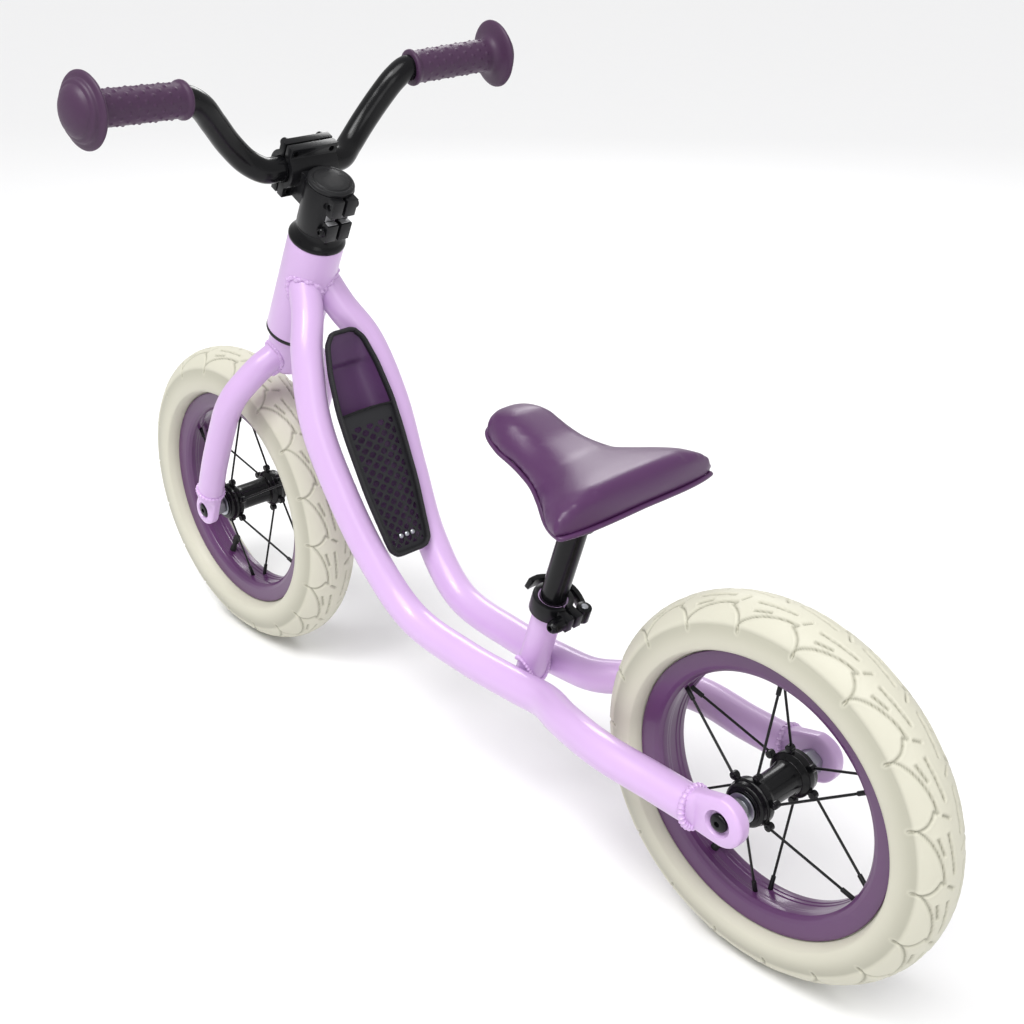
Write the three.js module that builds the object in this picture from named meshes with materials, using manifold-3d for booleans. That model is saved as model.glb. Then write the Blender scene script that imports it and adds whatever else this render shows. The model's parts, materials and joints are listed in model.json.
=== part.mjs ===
// A child's balance bike: twin-tube frame, straight fork, two spoked wheels with
// pneumatic tyres, a sliding saddle with a quick-release clamp, a tilting handlebar
// and a pouch between the frame tubes. Millimetres, +Z up, +X forward, +Y to the rider's left.
import * as THREE from 'three';
import { mergeVertices } from 'three/addons/utils/BufferGeometryUtils.js';
import Module from 'manifold-3d';

const wasm = await Module();
wasm.setup();

// ---------------------------------------------------------------- driving sizes
const GAP = 0.3; // between pieces that touch
const RUNNING = 0.4; // between pieces that turn or slide on each other

// Wheels
const WHEELBASE = 671;
const REAR_TYRE_RADIUS = 150;
const FRONT_TYRE_RADIUS = 155;
const REAR_TYRE_HALF_WIDTH = 27.5;
const FRONT_TYRE_HALF_WIDTH = 29;
const TYRE_WALL = 3.5;
const FLANGE_RADIUS = 111.8; // outer edge of the rim
const RIM_HALF_WIDTH = 17;
const RIM_INNER_RADIUS = 94;
const RIM_BED_RADIUS = 104;
const HUB_BODY_RADIUS = 12.5;
const HUB_FLANGE_RADIUS = 20;
const HUB_HALF_LENGTH = 33;
const FLANGE_THICKNESS = 3.5;
const FLANGE_OFFSET = 23; // hub centre to the middle of a flange
const SPOKE_RADIUS = 1.1;
const SPOKE_PAIRS = 6;
const PAIR_HALF_ANGLE = 0.035; // at the rim, either side of the pair's middle
const LUG_HALF_ANGLE = 0.16; // at the hub
const AXLE_RADIUS = 5;
const BOLT_HEAD_RADIUS = 6;
const BOLT_HEAD_HEIGHT = 3.6;
const BOLT_SHANK_RADIUS = 3.6;
const NUT_RADIUS = 8.6;
const NUT_LENGTH = 8;
const VALVE_RADIUS = 3.2;
const VALVE_LENGTH = 34;
const VALVE_ANGLE = THREE.MathUtils.degToRad(-60); // between two spoke pairs, low and in front

// Frame
const TUBE_RADIUS = 14.3;
const TUBE_WALL = 1.8;
const HEAD_LEAN = THREE.MathUtils.degToRad(26.4);
const HEAD_TUBE_RADIUS = 25;
const CROWN_BOTTOM = FRONT_TYRE_RADIUS + 29; // along the steering axis, from the front axle
const HEAD_TUBE_BOTTOM = CROWN_BOTTOM + 45;
const HEAD_TUBE_LENGTH = 102;
const HEAD_TUBE_BORE = 17.5;
const BEARING_RADIUS = 21;
const BEARING_HEIGHT = 8;
const REAR_DROPOUT_OUTER = 62; // half the width over the rear dropouts
const DROPOUT_THICKNESS = 14;
const DROPOUT_END_RADIUS = 20;
const STAY_END = 40; // rear tubes stop this far in front of the axle

// Seat
const SEAT_LEAN = THREE.MathUtils.degToRad(18.2);
const SEAT_FOOT_X = 254.5; // seat-tube axis at the underside of the frame
const SEAT_FOOT_Z = 129;
const SEAT_TUBE_RADIUS = 12.7;
const SEAT_TUBE_LENGTH = 90;
const POST_RADIUS = 11.1;
const POST_WALL = 2;
const POST_LENGTH = 158;
const POST_FOOT = 29; // foot of the post above the foot of the seat tube
const COLLAR_HEIGHT = 15;
const COLLAR_WALL = 4.2;
const SKEWER_OFFSET = SEAT_TUBE_RADIUS + 8.8; // behind the seat-tube axis
const SADDLE_LENGTH = 160;
const SADDLE_HALF_WIDTH = 87;
const SADDLE_FRONT_X = 289;
const SADDLE_Z = 329; // edge of the tail

// Fork and steering
const STEERER_RADIUS = 14.3;
const STEERER_WALL = 2.2;
const CROWN_RADIUS = 20;
const FORK_TUBE_RADIUS = 12.7;
const FORK_TUBE_WALL = 1.8;
const FORK_HALF_SPREAD = 56;
const FORK_DROPOUT_OUTER = 57.5;
const FORK_DROPOUT_THICKNESS = 11;
const FORK_DROPOUT_RADIUS = 15;
const LEG_END = 27; // fork tubes stop this far above the axle
const SEAL_HEIGHT = 3.6;
const CAP_HEIGHT = 14;
const STEM_HEIGHT = 43;
const STEM_RADIUS = 21;
const STEM_REACH = 37.3;
const CLAMP_HEIGHT = 381.6; // handlebar axis along the steering axis
const CLAMP_RADIUS = 16.5;
const CLAMP_HALF_WIDTH = 24;
const STEM_SLIT = 3;

// Handlebar
const BAR_RADIUS = 11.1;
const BAR_WALL = 2;
const GRIP_RADIUS = 14;
const GRIP_START = 114; // half-width where the grips begin
const GRIP_LENGTH = 106;
const GRIP_FLANGE_RADIUS = 29.5;

// Pouch
const POUCH_LENGTH = 207;
const POUCH_DEPTH = 20;
const POUCH_WALL = 2.6;
const POUCH_MOUTH = 134; // the mesh pocket reaches this high
const POUCH_BEHIND_HEAD = 49.9021; // its top, behind the middle of the head tube
const POUCH_BELOW_HEAD = 31.5993;
const POUCH_LEAN = THREE.MathUtils.degToRad(25.3);

const RING_SEGMENTS = 26;
const ROUND_SEGMENTS = 16;

// ---------------------------------------------------------------- materials
const finish = (color, roughness, metalness = 0) => () =>
  new THREE.MeshStandardMaterial({ color, roughness, metalness });

const lilacPaint = finish(0xd6badf, 0.38);
const violetRim = finish(0x69416e, 0.3, 0.35);
const creamRubber = finish(0xdedacc, 0.75);
const blackPlastic = finish(0x242326, 0.45);
const blackMetal = finish(0x1d1d1f, 0.3, 0.7);
const brightSteel = finish(0xb9bcc0, 0.28, 0.95);
const mauveGrip = finish(0x5f3c5f, 0.7);
const violetSaddle = finish(0x623a66, 0.5);
const violetFabric = finish(0x55375a, 0.85);
const blackFabric = finish(0x222124, 0.9);
const blackRubber = finish(0x1b1b1c, 0.8);

// ---------------------------------------------------------------- shape helpers
const circle = (radius) => {
  const shape = new THREE.Shape();
  shape.absarc(0, 0, radius, 0, 2 * Math.PI);
  return shape;
};

const ringShape = (outer, inner) => {
  const shape = circle(outer);
  const hole = new THREE.Path();
  hole.absarc(0, 0, inner, 0, 2 * Math.PI);
  shape.holes.push(hole);
  return shape;
};

// Shared vertices merged, so that the surface is closed.
const welded = (geometry) => {
  const plain = geometry.clone();
  plain.deleteAttribute('normal');
  plain.deleteAttribute('uv');
  return mergeVertices(plain, 1e-4);
};

const solidOf = (geometry) => {
  const merged = welded(geometry);
  const mesh = new wasm.Mesh({
    numProp: 3,
    vertProperties: new Float32Array(merged.attributes.position.array),
    triVerts: new Uint32Array(merged.index.array),
  });
  return new wasm.Manifold(mesh);
};

const geometryOf = (solid) => {
  const mesh = solid.getMesh();
  const geometry = new THREE.BufferGeometry();
  geometry.setAttribute('position', new THREE.BufferAttribute(mesh.vertProperties, 3));
  geometry.setIndex(new THREE.BufferAttribute(mesh.triVerts, 1));
  geometry.computeVertexNormals();
  return geometry;
};

const joined = (...geometries) => geometryOf(geometries.map(solidOf).reduce((all, one) => all.add(one)));

const cut = (geometry, ...tools) =>
  geometryOf(tools.map(solidOf).reduce((left, tool) => left.subtract(tool), solidOf(geometry)));

const common = (first, second) => geometryOf(solidOf(first).intersect(solidOf(second)));

// A cylinder between two points.
const rod = (start, end, radius, segments = ROUND_SEGMENTS) => {
  const along = new THREE.Vector3().subVectors(end, start);
  const geometry = new THREE.CylinderGeometry(radius, radius, along.length(), segments);
  const turn = new THREE.Quaternion().setFromUnitVectors(new THREE.Vector3(0, 1, 0), along.clone().normalize());
  const middle = new THREE.Vector3().addVectors(start, end).multiplyScalar(0.5);
  return geometry.applyQuaternion(turn).translate(middle.x, middle.y, middle.z);
};

const across = (x, z, from, to, radius, segments) =>
  rod(new THREE.Vector3(x, from, z), new THREE.Vector3(x, to, z), radius, segments);

const forward = (y, z, from, to, radius, segments) =>
  rod(new THREE.Vector3(from, y, z), new THREE.Vector3(to, y, z), radius, segments);

const upright = (bottom, top, radius, segments) =>
  rod(new THREE.Vector3(0, 0, bottom), new THREE.Vector3(0, 0, top), radius, segments);

const box = (sizeX, sizeY, sizeZ, x = 0, y = 0, z = 0) =>
  new THREE.BoxGeometry(sizeX, sizeY, sizeZ).translate(x, y, z);

// A closed profile of [radius, height] points, counter-clockwise, turned about the Z axis.
const turned = (profile, segments = ROUND_SEGMENTS) => {
  const points = profile.map(([radius, height]) => new THREE.Vector2(radius, height));
  points.push(points[0].clone());
  return new THREE.LatheGeometry(points, segments).rotateX(Math.PI / 2);
};

// The same about the Y axis, for what turns with a wheel or sits on the handlebar.
const turnedAcross = (profile, segments) => turned(profile, segments).rotateX(-Math.PI / 2);

const sleeve = (outer, inner, bottom, top, segments = ROUND_SEGMENTS) =>
  turned([[inner, bottom], [outer, bottom], [outer, top], [inner, top]], segments);

const sleeveAcross = (outer, inner, from, to, segments = ROUND_SEGMENTS) =>
  turnedAcross([[inner, from], [outer, from], [outer, to], [inner, to]], segments);

const tube = (points, outer, wall, steps, segments = 8) => {
  const path = new THREE.CatmullRomCurve3(points.map((p) => new THREE.Vector3(...p)), false, 'centripetal');
  const shape = wall > 0 ? ringShape(outer, outer - wall) : circle(outer);
  return new THREE.ExtrudeGeometry(shape, { steps, extrudePath: path, curveSegments: segments / 2 });
};

const mirrored = (points) => points.map(([x, y, z]) => [x, -y, z]);

const part = (name, geometry, material) => {
  const mesh = new THREE.Mesh(geometry, material());
  mesh.name = name;
  return mesh;
};

const group = (x, y, z, lean, ...children) => {
  const holder = new THREE.Group();
  holder.position.set(x, y, z);
  holder.rotation.y = -lean;
  holder.add(...children);
  return holder;
};

const sides = [
  { name: 'left', sign: 1 },
  { name: 'right', sign: -1 },
];

// ---------------------------------------------------------------- wheels
// Points of an arc of an ellipse in a wheel's section, as [radius, offset across].
const sectionArc = (centre, radial, across, from, to, steps) =>
  Array.from({ length: steps + 1 }, (_, i) => {
    const angle = from + ((to - from) * i) / steps;
    return [centre + radial * Math.cos(angle), across * Math.sin(angle)];
  });

const tyreGeometry = (outerRadius, halfWidth) => {
  const seatRadius = FLANGE_RADIUS + 2 * GAP;
  const lowest = FLANGE_RADIUS - 14.8; // where the tyre's round section would close
  const radial = (outerRadius - lowest) / 2;
  const centre = outerRadius - radial;
  const spread = Math.acos((seatRadius + 3 - centre) / radial);
  const beadInner = RIM_BED_RADIUS + 3;
  const beadAcross = RIM_HALF_WIDTH - 3.6;
  const outside = sectionArc(centre, radial, halfWidth, -spread, spread, 8);
  const inside = sectionArc(centre, radial - TYRE_WALL, halfWidth - TYRE_WALL, spread, -spread, 4);
  const bead = [
    [seatRadius + 0.4, RIM_HALF_WIDTH + 1.2],
    [seatRadius, beadAcross + 1],
    [beadInner, beadAcross],
    [beadInner, beadAcross - 4],
    [seatRadius, beadAcross - 3],
  ];
  const otherBead = bead.map(([radius, across]) => [radius, -across]).reverse();
  return turnedAcross([...outside, ...bead, ...inside, ...otherBead], RING_SEGMENTS);
};

const innerTubeGeometry = (outerRadius) => {
  const top = outerRadius - TYRE_WALL - 2;
  const bottom = RIM_BED_RADIUS + 4;
  const radial = (top - bottom) / 2;
  const section = sectionArc((top + bottom) / 2, radial, RIM_HALF_WIDTH - 2.5, 0, 2 * Math.PI, 8);
  return turnedAcross(section.slice(0, -1), RING_SEGMENTS);
};

const rimGeometry = (valveHole) => {
  const half = [
    [RIM_INNER_RADIUS, RIM_HALF_WIDTH - 5],
    [RIM_INNER_RADIUS + 2.4, RIM_HALF_WIDTH - 2.4],
    [FLANGE_RADIUS - 0.8, RIM_HALF_WIDTH],
    [FLANGE_RADIUS, RIM_HALF_WIDTH - 0.9],
    [FLANGE_RADIUS - 0.8, RIM_HALF_WIDTH - 1.7],
    [RIM_BED_RADIUS + 2, RIM_HALF_WIDTH - 2.8],
    [RIM_BED_RADIUS, RIM_HALF_WIDTH - 9],
  ];
  const otherHalf = half.map(([radius, across]) => [radius, -across]).reverse();
  const ring = turnedAcross([...half, ...otherHalf].reverse(), RING_SEGMENTS);
  return cut(ring, valveHole);
};

// One spoke from a hub flange to just short of the rim, leading or trailing.
const spokeGeometry = (side, pair) => {
  const middle = (2 * Math.PI * (pair + 0.5)) / SPOKE_PAIRS;
  const rimAngle = middle + side * PAIR_HALF_ANGLE;
  const hubAngle = middle + side * LUG_HALF_ANGLE;
  const hubRadius = HUB_FLANGE_RADIUS - 2.5;
  const rimRadius = RIM_INNER_RADIUS - 1.6;
  const start = new THREE.Vector3(
    hubRadius * Math.cos(hubAngle), side * FLANGE_OFFSET, hubRadius * Math.sin(hubAngle));
  const end = new THREE.Vector3(rimRadius * Math.cos(rimAngle), side * 5, rimRadius * Math.sin(rimAngle));
  return rod(start, end, SPOKE_RADIUS, 5);
};

const hubGeometry = () => {
  const flangeIn = FLANGE_OFFSET - FLANGE_THICKNESS / 2;
  const flangeOut = FLANGE_OFFSET + FLANGE_THICKNESS / 2;
  const bore = AXLE_RADIUS + RUNNING;
  const half = [
    [bore, HUB_HALF_LENGTH],
    [HUB_BODY_RADIUS - 1.5, HUB_HALF_LENGTH],
    [HUB_BODY_RADIUS, flangeOut + 1],
    [HUB_BODY_RADIUS, flangeOut],
    [HUB_FLANGE_RADIUS, flangeOut],
    [HUB_FLANGE_RADIUS, flangeIn],
    [HUB_BODY_RADIUS, flangeIn],
  ];
  const otherHalf = half.map(([radius, across]) => [radius, -across]).reverse();
  const shell = turnedAcross([...half, ...otherHalf].reverse(), 16);
  const spokes = [1, -1].flatMap((side) =>
    Array.from({ length: SPOKE_PAIRS }, (_, pair) => spokeGeometry(side, pair)));
  return joined(shell, ...spokes);
};

// A wheel about its own centre. The valve stands on the rim at the given angle.
const wheel = (prefix, x, z, tyreRadius, tyreHalfWidth, valveAngle) => {
  const outward = new THREE.Vector3(Math.cos(valveAngle), 0, Math.sin(valveAngle));
  const at = (radius) => outward.clone().multiplyScalar(radius);
  const valveTop = RIM_BED_RADIUS + 3;
  const hole = rod(at(RIM_INNER_RADIUS - 5), at(RIM_BED_RADIUS + 5), VALVE_RADIUS + GAP, 12);
  const valve = rod(at(valveTop - VALVE_LENGTH), at(valveTop), VALVE_RADIUS, 12);
  return group(x, 0, z, 0,
    part(`${prefix}_tyre`, tyreGeometry(tyreRadius, tyreHalfWidth), creamRubber),
    part(`${prefix}_inner_tube`, innerTubeGeometry(tyreRadius), blackRubber),
    part(`${prefix}_rim`, rimGeometry(hole), violetRim),
    part(`${prefix}_hub`, hubGeometry(), blackMetal),
    part(`${prefix}_valve`, valve, blackRubber),
  );
};

// Axle, its two lock nuts inside the dropouts and its two bolts outside them.
const axleSet = (prefix, dropoutOuter, dropoutThickness) => {
  const dropoutInner = dropoutOuter - dropoutThickness;
  const nutEnd = dropoutInner - GAP;
  const axle = sleeveAcross(AXLE_RADIUS, 1.5, -nutEnd, nutEnd);
  const fixed = sides.flatMap(({ name, sign }) => {
    const nut = cut(
      across(0, 0, nutEnd - NUT_LENGTH, nutEnd, NUT_RADIUS, 6),
      across(0, 0, 0, nutEnd + 1, AXLE_RADIUS + GAP));
    const head = dropoutOuter - BOLT_HEAD_HEIGHT;
    const shank = across(0, 0, dropoutInner + GAP, head + 1, BOLT_SHANK_RADIUS, 10);
    const cap = across(0, 0, head + GAP, dropoutOuter - 0.4, BOLT_HEAD_RADIUS, 14);
    const turn = (geometry) => (sign > 0 ? geometry : geometry.rotateZ(Math.PI));
    return [
      part(`${prefix}_${name}_axle_nut`, turn(nut), brightSteel),
      part(`${prefix}_${name}_axle_bolt`, turn(joined(shank, cap)), blackMetal),
    ];
  });
  return [part(`${prefix}_axle`, axle, brightSteel), ...fixed];
};

// A flat lug with a round end about the axle, running up to the end of its tube.
const dropoutGeometry = (endRadius, reach, halfHeight, rise, inner, outer) => {
  const lug = new THREE.Shape();
  const top = Math.atan2(rise + halfHeight, reach) + Math.acos(endRadius / Math.hypot(reach, rise + halfHeight));
  const low = Math.atan2(rise - halfHeight, reach) - Math.acos(endRadius / Math.hypot(reach, rise - halfHeight));
  lug.moveTo(reach, rise - halfHeight);
  lug.lineTo(reach, rise + halfHeight);
  lug.absarc(0, 0, endRadius, top, low + 2 * Math.PI);
  lug.closePath();
  const plate = new THREE.ExtrudeGeometry(lug, {
    depth: outer - inner, bevelEnabled: false, curveSegments: 12,
  }).rotateX(Math.PI / 2).translate(0, outer, 0);
  const hole = across(0, 0, inner - 1, outer + 1, BOLT_SHANK_RADIUS + GAP, 12);
  const recess = across(0, 0, outer - BOLT_HEAD_HEIGHT, outer + 1, BOLT_HEAD_RADIUS + 1.5, 16);
  return cut(plate, hole, recess);
};

// ---------------------------------------------------------------- frame
const FRAME_TUBE_SIDE = SEAT_TUBE_RADIUS + TUBE_RADIUS + GAP; // tubes pass the seat tube here
const REAR_TUBE_SIDE = REAR_DROPOUT_OUTER - DROPOUT_THICKNESS / 2;
const REAR_TUBE_HEIGHT = 147;
// The middle of the head tube: the front of the frame and the pouch are placed from it.
const HEAD_MIDDLE = HEAD_TUBE_BOTTOM + HEAD_TUBE_LENGTH / 2;
const HEAD_X = WHEELBASE - Math.sin(HEAD_LEAN) * HEAD_MIDDLE;
const HEAD_Z = FRONT_TYRE_RADIUS + Math.cos(HEAD_LEAN) * HEAD_MIDDLE;
const FRAME_PATH = [
  [HEAD_X - 10.5021, 9, HEAD_Z + 10.2007],
  [HEAD_X - 26.5021, 18, HEAD_Z - 17.7993],
  [HEAD_X - 43.5021, TUBE_RADIUS + 18.7, HEAD_Z - 48.7993],
  [HEAD_X - 64.5021, TUBE_RADIUS + 28.7, HEAD_Z - 102.7993],
  [HEAD_X - 91.5021, TUBE_RADIUS + 25.7, HEAD_Z - 161.7993],
  [HEAD_X - 125.5021, TUBE_RADIUS + 18.7, HEAD_Z - 219.7993],
  [HEAD_X - 171.5021, FRAME_TUBE_SIDE + 1, 145],
  [305, FRAME_TUBE_SIDE + 0.2, 135],
  [238, FRAME_TUBE_SIDE, 135.5],
  [206, FRAME_TUBE_SIDE + 1.5, 138],
  [170, 43, 144],
  [116, REAR_TUBE_SIDE + 1, 149],
  [STAY_END + 25, REAR_TUBE_SIDE, REAR_TUBE_HEIGHT + 0.5],
  [STAY_END - 6, REAR_TUBE_SIDE, REAR_TUBE_HEIGHT],
];

const headTube = () => {
  const length = HEAD_TUBE_LENGTH;
  const seat = BEARING_RADIUS + GAP;
  return turned([
    [seat, 0],
    [HEAD_TUBE_RADIUS, 0],
    [HEAD_TUBE_RADIUS, length],
    [seat, length],
    [seat, length - BEARING_HEIGHT - GAP],
    [HEAD_TUBE_BORE, length - BEARING_HEIGHT - GAP],
    [HEAD_TUBE_BORE, BEARING_HEIGHT + GAP],
    [seat, BEARING_HEIGHT + GAP],
  ], 32).translate(0, 0, HEAD_TUBE_BOTTOM);
};

// The space that the head tube fills, in the frame's own axes.
const headTubeSpace = () =>
  new THREE.CylinderGeometry(HEAD_TUBE_RADIUS + GAP, HEAD_TUBE_RADIUS + GAP, 2 * HEAD_TUBE_LENGTH, 32)
    .rotateX(Math.PI / 2)
    .translate(0, 0, HEAD_TUBE_BOTTOM + HEAD_TUBE_LENGTH / 2)
    .rotateY(-HEAD_LEAN)
    .translate(WHEELBASE, 0, FRONT_TYRE_RADIUS);

const frameTube = (sign) => {
  const points = sign > 0 ? FRAME_PATH : mirrored(FRAME_PATH);
  const whole = tube(points, TUBE_RADIUS, TUBE_WALL, 26);
  const otherSide = box(200, 100, 200, HEAD_X - 26.5021, -sign * (50 - GAP / 2), HEAD_Z - 5.7993);
  const behind = box(60, 60, 60, STAY_END - 30, sign * REAR_TUBE_SIDE, REAR_TYRE_RADIUS);
  return cut(whole, headTubeSpace(), otherSide, behind);
};

const rearDropout = (sign) => {
  const rise = REAR_TUBE_HEIGHT - REAR_TYRE_RADIUS;
  const inner = REAR_DROPOUT_OUTER - DROPOUT_THICKNESS;
  const geometry = dropoutGeometry(
    DROPOUT_END_RADIUS, STAY_END - GAP, TUBE_RADIUS - 0.3, rise, inner, REAR_DROPOUT_OUTER);
  return sign > 0 ? geometry : mirrorAcross(geometry);
};

// The mirror image across the bike's middle plane, faces still outward.
function mirrorAcross(geometry) {
  const plain = welded(geometry).scale(1, -1, 1);
  const index = plain.index.array;
  for (let i = 0; i < index.length; i += 3) {
    [index[i], index[i + 1]] = [index[i + 1], index[i]];
  }
  plain.computeVertexNormals();
  return plain;
}

const seatTube = () => {
  const bore = POST_RADIUS + RUNNING;
  const pipe = sleeve(SEAT_TUBE_RADIUS, bore, 0, SEAT_TUBE_LENGTH, 24);
  const slit = box(SEAT_TUBE_RADIUS * 2, 2, 30, -SEAT_TUBE_RADIUS, 0, SEAT_TUBE_LENGTH - 10);
  return cut(pipe, slit);
};

const collarCentre = SEAT_TUBE_LENGTH - COLLAR_HEIGHT / 2 + 1;

const seatCollar = () => {
  const inner = SEAT_TUBE_RADIUS + GAP;
  const ring = sleeve(inner + COLLAR_WALL, inner, -COLLAR_HEIGHT / 2, COLLAR_HEIGHT / 2, 28);
  const ears = cut(
    box(14, 2 * EAR_HALF_WIDTH, COLLAR_HEIGHT - 3, -SKEWER_OFFSET + 1, 0, 0), upright(-20, 20, inner, 28));
  const slit = box(20, 3, COLLAR_HEIGHT + 2, -SKEWER_OFFSET, 0, 0);
  return cut(joined(ring, ears), slit, across(-SKEWER_OFFSET, 0, -20, 20, SKEWER_RADIUS + GAP, 12));
};

const EAR_HALF_WIDTH = 8.5;
const SKEWER_END = 16.5;
const SKEWER_RADIUS = 3;
const skewer = () => across(-SKEWER_OFFSET, 0, GAP - EAR_HALF_WIDTH, SKEWER_END, SKEWER_RADIUS, 12);

const skewerNut = () => cut(
  across(-SKEWER_OFFSET, 0, EAR_HALF_WIDTH + GAP, 23, 6.4, 14),
  across(-SKEWER_OFFSET, 0, 0, SKEWER_END + GAP, SKEWER_RADIUS + GAP, 12));

// The lever about its own pin: a cam barrel and an arm that curls round the collar.
const CAM_RADIUS = 6.5;
const LEVER_PIN_SIDE = -(EAR_HALF_WIDTH + GAP + CAM_RADIUS);
const lever = () => {
  const barrel = upright(-6.5, 6.5, CAM_RADIUS, 20);
  const sweep = SEAT_TUBE_RADIUS + COLLAR_WALL + 7;
  const points = Array.from({ length: 7 }, (_, i) => {
    const angle = THREE.MathUtils.degToRad(-128 + 24 * i);
    const x = sweep * Math.cos(angle) + SKEWER_OFFSET;
    const y = sweep * Math.sin(angle) - LEVER_PIN_SIDE;
    return new THREE.Vector3(x, y, 0.8 * i);
  });
  const blade = new THREE.Shape();
  blade.moveTo(-5, -2.2);
  blade.lineTo(5, -2.2);
  blade.lineTo(5, 2.2);
  blade.lineTo(-5, 2.2);
  blade.closePath();
  const arm = new THREE.ExtrudeGeometry(blade, {
    steps: 14, extrudePath: new THREE.CatmullRomCurve3([new THREE.Vector3(0, -2, 0), ...points.slice(1)]),
  });
  return joined(barrel, arm);
};

// ---------------------------------------------------------------- saddle
const seatPost = () => sleeve(POST_RADIUS, POST_RADIUS - POST_WALL, POST_FOOT, POST_FOOT + POST_LENGTH, 24);

// Plan and side outline of the saddle: t runs from the tail, 0, to the nose, 1.
const saddleOutline = (t) => ({
  halfWidth: 34 * (1 - Math.exp(-((t / 0.3) ** 2))) + SADDLE_HALF_WIDTH * Math.exp(-((t / 0.36) ** 2)),
  edge: SADDLE_Z + 24 * Math.max(t - 0.42, 0) ** 0.9 + 14 * Math.max(t - 0.6, 0),
  rise: 3 * Math.sin(Math.PI * Math.min(t / 0.9, 1)),
  crown: 22 + 4 * Math.cos(2 * Math.PI * t),
});

// A rounded block on the saddle's edge line: a dome above it and a shallower one below.
const saddleBody = (inset, drop, crownShare, depth) => {
  const geometry = welded(new THREE.SphereGeometry(1, 22, 12).rotateX(Math.PI / 2));
  const position = geometry.attributes.position;
  const half = SADDLE_LENGTH / 2 - inset;
  for (let i = 0; i < position.count; i += 1) {
    const u = position.getX(i);
    const round = Math.sqrt(Math.max(1 - u * u, 1e-9));
    const side = position.getY(i) / round;
    const height = position.getZ(i) / round;
    const { halfWidth, edge, rise, crown } = saddleOutline((u + 1) / 2);
    const blunt = Math.sqrt(Math.min(1, round * (u < 0 ? 2.4 : 1.2)));
    const thickness = height > 0 ? crown * crownShare : depth;
    position.setXYZ(
      i,
      SADDLE_FRONT_X - SADDLE_LENGTH / 2 + half * u,
      side * (halfWidth - inset) * blunt,
      edge - drop + rise * (1 - side * side) + height * thickness * blunt,
    );
  }
  geometry.computeVertexNormals();
  return geometry;
};

const alongSeatPost = (geometry) => geometry.rotateY(-SEAT_LEAN).translate(SEAT_FOOT_X, 0, SEAT_FOOT_Z);

const PAN_DEPTH = 6;
const saddlePan = () => {
  const postTop = POST_FOOT + POST_LENGTH;
  const pan = saddleBody(6, 1.6, 0, PAN_DEPTH);
  const socket = alongSeatPost(upright(postTop - 16, postTop + 19, 16, 20));
  const bore = alongSeatPost(upright(postTop - 60, postTop + GAP, POST_RADIUS + GAP, 24));
  return cut(joined(pan, socket), bore);
};

const saddleCushion = () => saddleBody(0, 0, 1, 0);

// ---------------------------------------------------------------- fork and steering
// Everything here stands on the steering axis: the front axle is at the origin.
const FORK_PATH = [
  [0, 6, CROWN_BOTTOM + 22],
  [0, 15, CROWN_BOTTOM + 13],
  [0, 28, CROWN_BOTTOM + 3],
  [0, 40, CROWN_BOTTOM - 11],
  [0, 50, CROWN_BOTTOM - 26],
  [0, 55, CROWN_BOTTOM - 44],
  [0, FORK_HALF_SPREAD, 115],
  [0, FORK_HALF_SPREAD, 70],
  [0, FORK_DROPOUT_OUTER - FORK_DROPOUT_THICKNESS / 2 + 1, LEG_END - 5],
];
const HEAD_TUBE_TOP = HEAD_TUBE_BOTTOM + HEAD_TUBE_LENGTH;
const STEM_BOTTOM = HEAD_TUBE_TOP + GAP + CAP_HEIGHT + GAP;
const STEM_TOP = STEM_BOTTOM + STEM_HEIGHT;

const forkLeg = (sign) => {
  const points = sign > 0 ? FORK_PATH : mirrored(FORK_PATH);
  const crown = upright(CROWN_BOTTOM - 24, CROWN_BOTTOM + 66, CROWN_RADIUS + GAP, 24);
  const below = box(60, 60, 20, 0, sign * FORK_HALF_SPREAD, LEG_END - 10);
  return cut(tube(points, FORK_TUBE_RADIUS, FORK_TUBE_WALL, 15), crown, below);
};

const steerer = () => {
  const inner = STEERER_RADIUS - STEERER_WALL;
  const shoulder = HEAD_TUBE_BOTTOM - GAP - SEAL_HEIGHT - GAP;
  return turned([
    [inner, CROWN_BOTTOM],
    [CROWN_RADIUS - 3, CROWN_BOTTOM],
    [CROWN_RADIUS, CROWN_BOTTOM + 4],
    [CROWN_RADIUS, shoulder - 4],
    [HEAD_TUBE_RADIUS - 1, shoulder],
    [STEERER_RADIUS, shoulder],
    [STEERER_RADIUS, STEM_TOP - 3],
    [inner, STEM_TOP - 3],
  ], 24);
};

const forkDropout = (sign) => {
  const inner = FORK_DROPOUT_OUTER - FORK_DROPOUT_THICKNESS;
  const geometry = dropoutGeometry(
    FORK_DROPOUT_RADIUS, LEG_END - GAP, FORK_TUBE_RADIUS - 0.2, 0, inner, FORK_DROPOUT_OUTER,
  ).rotateY(-Math.PI / 2);
  return sign > 0 ? geometry : mirrorAcross(geometry);
};

const bearing = () => sleeve(BEARING_RADIUS, STEERER_RADIUS + RUNNING, 0, BEARING_HEIGHT, 24);

const lowerSeal = () =>
  sleeve(HEAD_TUBE_RADIUS, STEERER_RADIUS + GAP, -SEAL_HEIGHT - GAP, -GAP, 32).translate(0, 0, HEAD_TUBE_BOTTOM);

const headsetCap = () => {
  const bore = STEERER_RADIUS + GAP;
  return turned([
    [bore, 0],
    [HEAD_TUBE_RADIUS + 0.4, 0],
    [HEAD_TUBE_RADIUS + 0.4, 2],
    [HEAD_TUBE_RADIUS - 1.6, 6],
    [STEM_RADIUS - 1.5, CAP_HEIGHT],
    [bore, CAP_HEIGHT],
  ], 32).translate(0, 0, HEAD_TUBE_TOP + GAP);
};

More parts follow.
